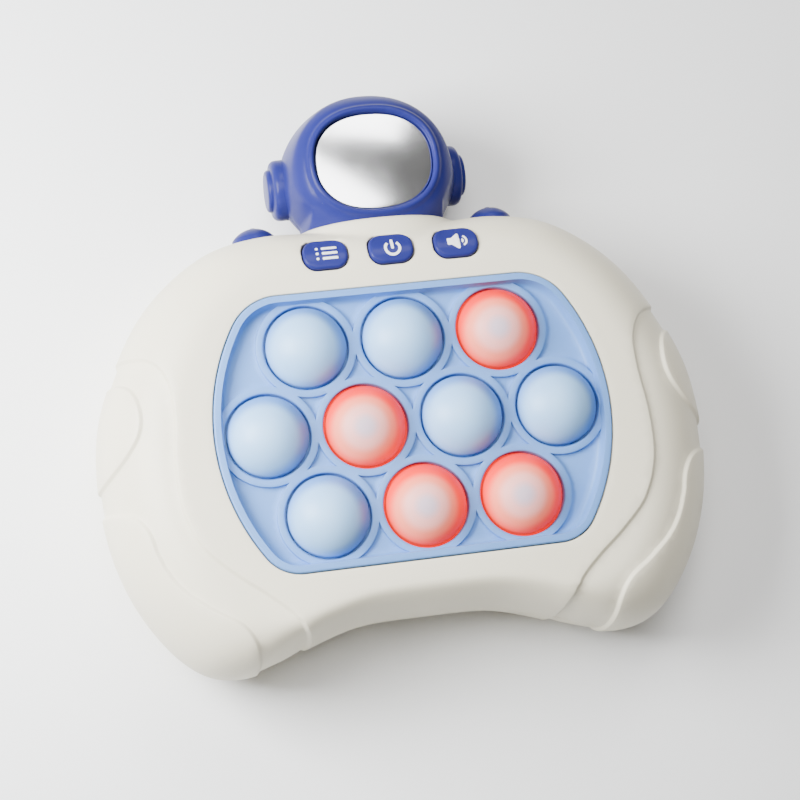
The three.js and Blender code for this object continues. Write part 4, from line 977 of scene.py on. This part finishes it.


# Painted shade: the blue grows darker towards the rim, most on the upper right, away from the key light.
plain_bubble, _ = bubble_finish("plain bubble", [
    (0.0, (0.36, 0.62, 0.93)), (0.7, (0.32, 0.58, 0.92)), (1.0, (0.13, 0.31, 0.72)),
])
# Painted light and shade: a grey-lilac middle for the press rod's shade, pale pink towards the key light,
# deep red on the far upper right.
lit_bubble, outwards = bubble_finish("lit bubble", [
    (0.1, (0.6, 0.47, 0.55)), (0.42, (0.85, 0.42, 0.38)), (0.68, (0.95, 0.25, 0.16)),
    (0.9, (0.93, 0.025, 0.015)), (1.0, (0.85, 0.01, 0.008)),
])
# The red emission stands in for the lamp inside; its dark middle is painted shade of the press rod, and it
# is strongest on the upper right.
lamp_light = lit_bubble.ramp(outwards, [
    (0.15, (0.03, 0.0, 0.02)), (0.5, (0.4, 0.03, 0.02)), (0.85, (1.0, 0.01, 0.0)), (1.0, (1.0, 0.0, 0.0)),
])
lit_bubble.link(lamp_light, lit_bubble.shader.inputs["Emission Color"])
lit_bubble.set("Emission Strength", 0.7)
lit_bubble.set("Specular IOR Level", 0.2)


bubble_tree = PieceTree("press bubbles", BUBBLE_SIZES)
size = bubble_tree.given


def times(first, second):
    return bubble_tree.math("MULTIPLY", first, second)


def plus(first, second):
    return bubble_tree.math("ADD", first, second)


def minus(first, second):
    return bubble_tree.math("SUBTRACT", first, second)


def over(first, second):
    return bubble_tree.math("DIVIDE", first, second)


def round_shell(radius, crown, turn):
    """A skirt and a round crown, turned from a sheet of steps along and round them."""
    sheet = bubble_tree.node("GeometryNodeMeshGrid", {
        "Size X": 1.0, "Size Y": 1.0, "Vertices X": ROUND_STEPS + 1, "Vertices Y": PROFILE_STEPS + 1})
    place = bubble_tree.tree.nodes.new("ShaderNodeSeparateXYZ")
    bubble_tree.tree.links.new(bubble_tree.node("GeometryNodeInputPosition", {}), place.inputs[0])
    around = times(plus(place.outputs[0], 0.5), turn)
    sphere = over(plus(times(radius, radius), times(crown, crown)), times(crown, 2.0))
    spread = bubble_tree.math("ARCSINE", over(radius, sphere))
    along = times(plus(place.outputs[1], 0.5), plus(size["Skirt"], times(sphere, spread)))
    up = bubble_tree.math("MINIMUM", along, size["Skirt"])
    bend = over(minus(along, up), sphere)
    angle = bubble_tree.math("MAXIMUM", minus(spread, bend), 0.0)
    reach = times(sphere, bubble_tree.math("SINE", angle))
    rise = times(sphere, bubble_tree.math("COSINE", angle))
    corner = bubble_tree.vector(
        times(reach, bubble_tree.math("COSINE", around)),
        times(reach, bubble_tree.math("SINE", around)),
        minus(plus(up, rise), minus(sphere, crown)),
    )
    bent = bubble_tree.node("GeometryNodeSetPosition", {"Geometry": sheet, "Position": corner})
    return bubble_tree.node("GeometryNodeMergeByDistance", {"Geometry": bent, "Distance": 0.01 * MM})


outer = round_shell(size["Radius"], size["Crown"], 2 * math.pi)
inner = round_shell(minus(size["Radius"], size["Wall"]), minus(size["Crown"], size["Wall"]), -2 * math.pi)
foot_width = plus(size["Foot"], size["Wall"])
foot_middle = minus(plus(size["Radius"], size["Foot"]), times(foot_width, 0.5))
foot_path = bubble_tree.node("GeometryNodeCurvePrimitiveCircle", {
    "Resolution": ROUND_STEPS, "Radius": foot_middle})
foot_section = bubble_tree.node("GeometryNodeCurvePrimitiveQuadrilateral", {
    "Width": foot_width, "Height": size["Foot Height"]})
foot_ring = bubble_tree.moved(
    bubble_tree.node("GeometryNodeCurveToMesh", {"Curve": foot_path, "Profile Curve": foot_section}),
    translation=bubble_tree.vector(z=times(size["Foot Height"], 0.5)))
# Sets the painted shade off towards the lower left, so the darker painted colours lie on the upper right.
shift = bubble_tree.vector(size["Shade Shift"], size["Shade Shift"], 0.0)
flat_place = bubble_tree.node("ShaderNodeVectorMath", {
    0: bubble_tree.node("GeometryNodeInputPosition", {}), 1: (1, 1, 0)}, operation="MULTIPLY")
from_shade = bubble_tree.node("ShaderNodeVectorMath", {0: flat_place, 1: shift}, operation="ADD")
length = bubble_tree.tree.nodes.new("ShaderNodeVectorMath")
length.operation = "LENGTH"
bubble_tree.tree.links.new(from_shade, length.inputs[0])
bubble_tree.close(bubble_tree.node("GeometryNodeStoreNamedAttribute", {
    "Geometry": bubble_tree.joined(outer, inner, foot_ring), "Name": "outwards",
    "Value": over(length.outputs["Value"], size["Radius"])}, domain="POINT"))

for k, (x, y) in enumerate(bubble_places):
    number = f"{k + 1:02d}"
    lit = k + 1 in LIT_BUBBLES
    finish = lit_bubble if lit else plain_bubble
    cap = bubble_tree.run(f"bubble_cap_{number}", [(x, y, FOOT_BOTTOM)], finish)
    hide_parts(f"bubble_{number}")
    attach(cap, f"press_{number}")


# Function buttons
# Three glossy royal-blue caps in close wells. Their tops follow the body's skin and lean back with it,
# and each carries a printed white icon: a list, a power sign and a loudspeaker.

BUTTON_PROUD = 0.9
BUTTON_EDGE = 0.8
BUTTON_SKIRT = 5.0
ICON_LIFT = 0.14
ICON_DEPTH = 0.3
ICON_SHIFT = (0.3, 0.08)
LIST_BAR = 0.72
LIST_PITCH = 1.55
LIST_WIDTHS = ((LIST_BAR, -2.65), (4.3, 0.85))
POWER_RADIUS = 2.0
POWER_DROP = 0.25
POWER_TURNS = (130, 410)
POWER_STROKE = 0.74
POWER_BAR = 3.0
POWER_BAR_Y = 0.95
HORN_CORNERS = ((-2.9, -0.8), (-2.7, -1.0), (-1.7, -1.0), (0.0, -2.3), (0.35, -2.3), (0.55, -2.1))
WAVE_X = 1.05
WAVE_RADII = (0.45, 1.5)
WAVE_TURNS = (-66, 66)
WAVE_STROKE = 0.52

ROYAL_BLUE = (0.021, 0.024, 0.15)
royal = Finish("royal blue plastic", ROYAL_BLUE, 0.33).mottle(60, 0.05).grain(2200, 0.008, 0.28, 0.38)
royal.set("Specular IOR Level", 0.06)
royal.set("Coat Weight", 0.09)
royal.set("Coat Roughness", 0.14)
icon_white = Finish("printed white", (0.9, 0.9, 0.9), 0.5).mottle(2000, 0.02)
front = Skin(FRONT, face_outline)


def cap_height(points, lift=0.0):
    return front.surface(front.unroll(points))[0][:, 2] + BUTTON_PROUD + lift


def capped(outline, height_at, edge, depth, spacing, steps=5):
    """A cap whose top follows a height rule, with a rounded edge and straight sides."""
    places, triangles = mesh_region(outline, [], [], spacing)
    points = np.column_stack([places, height_at(places)]).tolist()
    faces = triangles.tolist()
    for loop in open_loops(triangles):
        roll_edge(points, faces, loop, -UP, edge, depth, steps)
    return points, faces


def strip(line, width):
    """The outline of a line of even width."""
    return np.concatenate([offset_line(line, width / 2), offset_line(line, -width / 2)[::-1]])


def list_icon(x, y):
    return [
        rounded_box(width, LIST_BAR, LIST_BAR / 3, x + aside, y + LIST_PITCH * row, 3)
        for row in (-1, 0, 1) for width, aside in LIST_WIDTHS
    ]


def power_icon(x, y):
    ring = arc((x, y - POWER_DROP), POWER_RADIUS, *np.radians(POWER_TURNS), 40)
    bar = rounded_box(POWER_STROKE, POWER_BAR, POWER_STROKE / 2.2, x, y + POWER_BAR_Y, 4)
    return [strip(ring, POWER_STROKE), bar]


def loudspeaker_icon(x, y):
    lower = np.array(HORN_CORNERS)
    horn = np.concatenate([lower, lower[::-1] * (1, -1)]) + (x, y)
    turns = np.radians(WAVE_TURNS)
    waves = [strip(arc((x + WAVE_X, y), radius, *turns, 16), WAVE_STROKE) for radius in WAVE_RADII]
    return [horn, *waves]


def as_loop(outline):
    """The outline run anticlockwise."""
    after = np.roll(outline, -1, axis=0)
    area = (outline[:, 0] * after[:, 1] - after[:, 0] * outline[:, 1]).sum()
    return outline if area > 0 else outline[::-1]


icons = (list_icon, power_icon, loudspeaker_icon)
for name, x, icon in zip(("menu", "power", "volume"), button_xs, icons):
    width, depth = BUTTON_WIDTH - 2 * BUTTON_EDGE, BUTTON_DEPTH - 2 * BUTTON_EDGE
    top = rounded_box(width, depth, BUTTON_CORNER - BUTTON_EDGE, x, BUTTON_Y)
    points, faces = capped(dense(top, 0.8), cap_height, BUTTON_EDGE, BUTTON_SKIRT, 0.9)
    key_cap = new_piece(f"{name}_key_cap", points, faces, royal, 60)
    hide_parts(f"{name}_button")
    points, faces = [], []
    for outline in icon(x + ICON_SHIFT[0], BUTTON_Y + ICON_SHIFT[1]):
        patch, patch_faces = capped(
            dense(as_loop(outline), 0.4), lambda p: cap_height(p, ICON_LIFT), 0.02, ICON_DEPTH, 0.4, 1)
        faces += [tuple(i + len(points) for i in face) for face in patch_faces]
        points += patch
    print_piece = new_piece(f"{name}_icon", points, faces, icon_white)
    for piece, finish_slot in ((key_cap, "royal_blue_plastic"), (print_piece, "white_plastic")):
        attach(piece, f"{name}_key")


# Helmet
# A round glossy helmet in two mouldings that part at the body's parting plane, on a neck that passes
# through the top edge. A rounded bezel stands out round the visor, and the shell flows down from it.

HELMET_TOP_Y = 100.2
HELMET_MIDDLE_Y = 73.98
HELMET_WIDTH = 51.6
HELMET_THICKNESS = 37.0
HELMET_POWER = 2.15
NECK_TOP_Y = 62.98
NECK_LOW_Y = 53.0
VISOR_WIDTH = 33.6
VISOR_HEIGHT = 28.4
VISOR_Y = 76.38
VISOR_POWER = 2.3
BEZEL_TOP = 38.6
BEZEL_WIDTH = 2.0
BEZEL_RISE = 0.8
BEZEL_FLOW = 0.13
BEZEL_EDGE = 0.05
BEZEL_RINGS = (0.25, 0.5, 0.8, 1.1, 1.5, 1.9, 2.3, 2.8)
BEZEL_REACH = 3.6
EDGE_BLEND = 3.0
VISOR_WELL = 3.0
BLEND = 1.0
HELMET_RAYS = 200
HELMET_RINGS = 44


def helmet_sizes(y):
    """Half width and half thickness of the helmet at each height."""
    rise = np.clip((y - NECK_TOP_Y) / (HELMET_MIDDLE_Y - NECK_TOP_Y), 0, 1)
    swell = np.sin(rise * math.pi / 2)
    above = np.clip((y - HELMET_MIDDLE_Y) / (HELMET_TOP_Y - HELMET_MIDDLE_Y), 0, 1)
    half = np.sqrt(1 - above**2) / 2
    width = NECK_WIDTH + (HELMET_WIDTH - NECK_WIDTH) * swell
    thickness = NECK_THICKNESS + (HELMET_THICKNESS - NECK_THICKNESS) * swell
    return width * half, thickness * half


def shell_depth(places):
    """Distance of the helmet's surface from the parting plane."""
    width, thickness = helmet_sizes(places[:, 1])
    share = np.clip(np.abs(places[:, 0]) / np.maximum(width, 1e-6), 0, 1)
    return thickness * (1 - share**HELMET_POWER) ** (1 / HELMET_POWER)


def helmet_silhouette():
    ys = np.concatenate([
        np.linspace(NECK_LOW_Y, HELMET_MIDDLE_Y, 60)[:-1],
        HELMET_MIDDLE_Y + (HELMET_TOP_Y - HELMET_MIDDLE_Y) * np.sin(np.linspace(0, math.pi / 2, 80)),
    ])
    right = np.column_stack([helmet_sizes(ys)[0], ys])
    return np.concatenate([right, right[:-1][::-1] * (-1, 1)])


def evened(loop, count):
    return even_steps(rejoined(loop), count=count + 1)[:-1]


def visor_oval(grow, count):
    """The visor's outline moved outwards."""
    turns = np.linspace(0, 2 * math.pi, 400, endpoint=False)
    outline = oval(VISOR_WIDTH / 2 + grow, VISOR_HEIGHT / 2 + grow, VISOR_POWER, turns)
    return evened(outline, count) + (0, VISOR_Y)


def from_middle(inner, outer):
    """The points of the outer loop that lie in the same directions as those of the inner one."""
    middle = inner.mean(axis=0)
    angles = np.unwrap(np.arctan2(outer[:, 1] - middle[1], outer[:, 0] - middle[0]))
    wanted = np.unwrap(np.arctan2(inner[:, 1] - middle[1], inner[:, 0] - middle[0]))
    angles = np.concatenate([angles - 2 * math.pi, angles, angles + 2 * math.pi])
    looped = np.concatenate([outer, outer, outer])
    order = np.argsort(angles)
    return np.stack([np.interp(wanted, angles[order], looped[order][:, k]) for k in (0, 1)], axis=1)


def ringed(inner, outer, rings):
    """Points from an inner loop to an outer one, closer together towards the outside."""
    shares = np.sin(np.linspace(0, math.pi / 2, rings))
    return [inner + (outer - inner) * share for share in shares]


def loft_faces(ring_count, ray_count, first=0):
    return [
        (first + k * ray_count + i, first + (k + 1) * ray_count + i,
         first + (k + 1) * ray_count + (i + 1) % ray_count, first + k * ray_count + (i + 1) % ray_count)
        for k in range(ring_count - 1) for i in range(ray_count)
    ]


def smooth_max(a, b, width):
    return (a + b + np.sqrt((a - b) ** 2 + width**2)) / 2


silhouette = dense(helmet_silhouette(), 0.3)
visor_edge = visor_oval(GAP, HELMET_RAYS)
outer_loop = from_middle(visor_edge, silhouette)
rays = outer_loop - visor_edge
rays /= np.linalg.norm(rays, axis=1)[:, None]
rings = [visor_edge, *[visor_edge + rays * step for step in BEZEL_RINGS]]
for ring in ringed(visor_edge, outer_loop, HELMET_RINGS):
    if np.abs(ring - visor_edge).max() > BEZEL_REACH:
        rings.append(ring)
places = np.concatenate(rings)
outside_visor = distance_to(visor_edge, places, closed=True)
shell = PARTING_HEIGHT + shell_depth(places)
flow = BEZEL_TOP - BEZEL_RISE - BEZEL_FLOW * outside_visor**2
from_edge = np.linalg.norm(places - np.tile(outer_loop, (len(rings), 1)), axis=1)
blended = shell + (smooth_max(shell, flow, BLEND) - shell) * soft_step(from_edge / EDGE_BLEND)
bezel_share = outside_visor / (BEZEL_WIDTH / 2) - 1
bezel = np.sqrt(np.clip(1 - bezel_share**2, 0, 1)) * BEZEL_RISE
helmet_points = np.column_stack([places, np.maximum(blended + bezel, PARTING_HEIGHT + GAP / 2)]).tolist()
helmet_faces = loft_faces(len(rings), HELMET_RAYS)
inner_loop = list(range(HELMET_RAYS))[::-1]
roll_edge(helmet_points, helmet_faces, inner_loop, -UP, BEZEL_EDGE, VISOR_WELL, 1)
helmet_face = new_piece("helmet_face", helmet_points, helmet_faces, royal, 60)
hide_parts("helmet_front")

back_start = circle(0, HELMET_MIDDLE_Y, 2, HELMET_RAYS)
back_rings = ringed(back_start, from_middle(back_start, silhouette), HELMET_RINGS)
places = np.concatenate([[[0, HELMET_MIDDLE_Y]], *back_rings])
depths = np.minimum(PARTING_HEIGHT - shell_depth(places), PARTING_HEIGHT - GAP / 2)
back_points = np.column_stack([places, depths]).tolist()
back_faces = [face[::-1] for face in loft_faces(len(back_rings), HELMET_RAYS, 1)]
back_faces += [(0, (k + 1) % HELMET_RAYS + 1, k + 1) for k in range(HELMET_RAYS)]
helmet_nape = new_piece("helmet_nape", back_points, back_faces, royal, 60)
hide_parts("helmet_back")
for piece in (helmet_face, helmet_nape):
    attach(piece, "base")


# Visor
# A mirror-coated plastic plate, a little domed, set in the bezel. It shows the soft lights of the room
# as blurred patches of bright and dark.

VISOR_SEAT = 35.6
VISOR_THICKNESS = 1.4
VISOR_BULGE = 0.9
VISOR_EDGE = 0.5

mirror = Finish("mirror coating", (0.86, 0.87, 0.89), 0.14, 1.0)
mirror.link(mirror.shift(mirror.noise(90), 0.12, 0.2), mirror.shader.inputs["Roughness"])


def visor_dome(points):
    across, up = ((points - (0, VISOR_Y)) / (VISOR_WIDTH / 2, VISOR_HEIGHT / 2)).T
    return VISOR_SEAT + VISOR_THICKNESS + VISOR_BULGE * (1 - np.clip(across**2 + up**2, 0, 1))


visor_loop = visor_oval(-VISOR_EDGE, 140)
points, faces = capped(visor_loop, visor_dome, VISOR_EDGE, VISOR_THICKNESS - VISOR_EDGE, 1.2)
visor_plate = new_piece("visor_plate", points, faces, mirror)
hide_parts("visor_mirror")
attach(visor_plate, "base")


# Ear pods
# A two-step round pod on each side of the helmet, like a headphone: a thick disc with a smaller cap on
# it, both with well rounded edges.

POD_Y = 75.78
POD_HEIGHT = 18.0
POD_RADIUS = 8.8
POD_CAP_RADIUS = 6.2
POD_SHOULDER = 27.8
POD_FACE = 29.2
POD_ROOT = 15.0
POD_FILLET = 2.3
POD_GROOVE = 0.2
POD_CAP_FILLET = 1.3


def turned(profile, count):
    """A form turned about an upright axis, from pairs of radius and height."""
    points, faces, rings = [], [], []
    angles = np.linspace(0, 2 * math.pi, count, endpoint=False)
    for radius, height in profile:
        first = len(points)
        if radius < 1e-6:
            points.append([0.0, 0.0, height])
            rings.append([first] * count)
        else:
            points.extend([radius * math.cos(a), radius * math.sin(a), height] for a in angles)
            rings.append(list(range(first, first + count)))
    for low, high in zip(rings, rings[1:]):
        for k in range(count):
            after = (k + 1) % count
            faces.append(tuple(dict.fromkeys([low[k], low[after], high[after], high[k]])))
    return points, faces


def filleted(corners, steps=6):
    """Profile points with each corner cut back by its own distance and rounded."""
    points = [corners[0][:2]]
    for before, (radius, height, cut), after in zip(corners, corners[1:], corners[2:]):
        corner = np.array([radius, height])
        if cut == 0:
            points.append(tuple(corner))
            continue
        start, end = (
            corner + (side - corner) / np.linalg.norm(side - corner) * cut
            for side in (np.array(before[:2]), np.array(after[:2]))
        )
        for t in np.linspace(0, 1, steps + 1):
            points.append(tuple(start * (1 - t) ** 2 + corner * 2 * t * (1 - t) + end * t**2))
    points.append(corners[-1][:2])
    return points


pod_profile = filleted([
    (0, POD_ROOT, 0), (POD_RADIUS, POD_ROOT, 0), (POD_RADIUS, POD_SHOULDER, POD_FILLET),
    (POD_CAP_RADIUS, POD_SHOULDER, POD_GROOVE), (POD_CAP_RADIUS, POD_FACE, POD_CAP_FILLET),
    (0, POD_FACE, 0),
])
for side, hand in (("left", -1), ("right", 1)):
    points, faces = turned(pod_profile, 72)
    points = [[hand * z, y + POD_Y, POD_HEIGHT + x * -hand] for x, y, z in points]
    pod = new_piece(f"{side}_pod", points, faces, royal)
    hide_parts(f"ear_pod_{side}")
    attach(pod, "base")


# Shoulder domes
# Two small glossy blue domes that look out of round holes in the top edge, beside the helmet. Each has a
# tiny nub at its crown, where it was moulded.

SHOULDER_LOW_Y = 54.6
SHOULDER_EDGE_Y = 60.98
SHOULDER_TOP_Y = 64.28
NUB_RADIUS = 1.0
NUB_RISE = 0.3

shoulder_rise = SHOULDER_TOP_Y - SHOULDER_EDGE_Y
sphere = (SHOULDER_RADIUS**2 + shoulder_rise**2) / (2 * shoulder_rise)
tilts = np.linspace(math.asin(SHOULDER_RADIUS / sphere), 0, 15)[:-3]
shoulder_profile = [
    (0, SHOULDER_LOW_Y), (SHOULDER_RADIUS, SHOULDER_LOW_Y),
    *[(sphere * math.sin(tilt), SHOULDER_TOP_Y - sphere * (1 - math.cos(tilt))) for tilt in tilts],
    (NUB_RADIUS, SHOULDER_TOP_Y - 0.1), (NUB_RADIUS * 0.8, SHOULDER_TOP_Y + 0.2),
    (0, SHOULDER_TOP_Y + NUB_RISE),
]
for side, hand in (("left", -1), ("right", 1)):
    points, faces = turned(shoulder_profile, 56)
    points = [[x + hand * SHOULDER_X, z, PARTING_HEIGHT - y] for x, y, z in points]
    shoulder = new_piece(f"{side}_shoulder", points, faces, royal)
    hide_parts(f"shoulder_dome_{side}")
    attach(shoulder, "base")


# Floor
# A pale matt table top. It has an opening under the toy's flat back, where the lower box shines through,
# and it can be looked through from below, so that the back can be seen.

FLOOR_SIZE = 6.0
FLOOR_DROP = 0.3
OPENING_MARGIN = 0.5

floor_finish = Finish("floor", (0.96, 0.96, 0.96), 0.6).mottle(3, 0.01)
clear = floor_finish.nodes.new("ShaderNodeBsdfTransparent")
facing = floor_finish.nodes.new("ShaderNodeNewGeometry")
either = floor_finish.nodes.new("ShaderNodeMixShader")
floor_finish.link(facing.outputs["Backfacing"], either.inputs["Fac"])
floor_finish.link(floor_finish.shader.outputs["BSDF"], either.inputs[1])
floor_finish.link(clear.outputs["BSDF"], either.inputs[2])
floor_finish.link(either.outputs["Shader"], floor_finish.nodes["Material Output"].inputs["Surface"])
closed_rest = np.concatenate([rest_outline[::4], rest_outline[:4:4]])
opening = offset_line(closed_rest, -OPENING_MARGIN)[:-1]
floor_edge = opening / np.linalg.norm(opening, axis=1)[:, None] * FLOOR_SIZE / 2 / MM
floor_places = np.concatenate([opening, floor_edge])
floor_points = np.column_stack([floor_places, np.full(len(floor_places), -FLOOR_DROP)])
floor = new_piece("floor", floor_points, loft_faces(2, len(opening)), floor_finish)


# Inside
# The light frame, circuit board, press rods, loudspeaker, cells and contacts keep their CAD shapes,
# since they show only through the grille and the open battery bay. Each gets its real material's finish.

white = Finish("white plastic", (0.86, 0.86, 0.84), 0.45).mottle(30, 0.02).grain(2000, 0.01, 0.4, 0.5)
board = Finish("green board", (0.02, 0.16, 0.06), 0.35).mottle(260, 0.35)
paper = Finish("black paper cone", (0.02, 0.02, 0.022), 0.8).mottle(400, 0.3).grain(3000, 0.03, 0.7, 0.9)
sleeve = Finish("cell sleeve", (0.05, 0.17, 0.09), 0.3).mottle(50, 0.15)
spring_steel = Finish("spring steel", (0.62, 0.6, 0.56), 0.3, 1.0).mottle(700, 0.06)


def dress(finish, *names):
    for name in names:
        for material_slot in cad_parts[name].material_slots:
            material_slot.material = finish.material


dress(white, "light_frame", *[f"press_rod_{k + 1:02d}" for k in range(10)])
dress(board, "main_board")
dress(paper, "speaker_cone")
dress(steel, "speaker_frame", "speaker_magnet", *[f"board_screw_{k + 1}" for k in range(4)])
dress(sleeve, "battery_1", "battery_2", "battery_3")
dress(spring_steel, "contact_minus", "contact_link_1", "contact_link_2", "contact_plus")
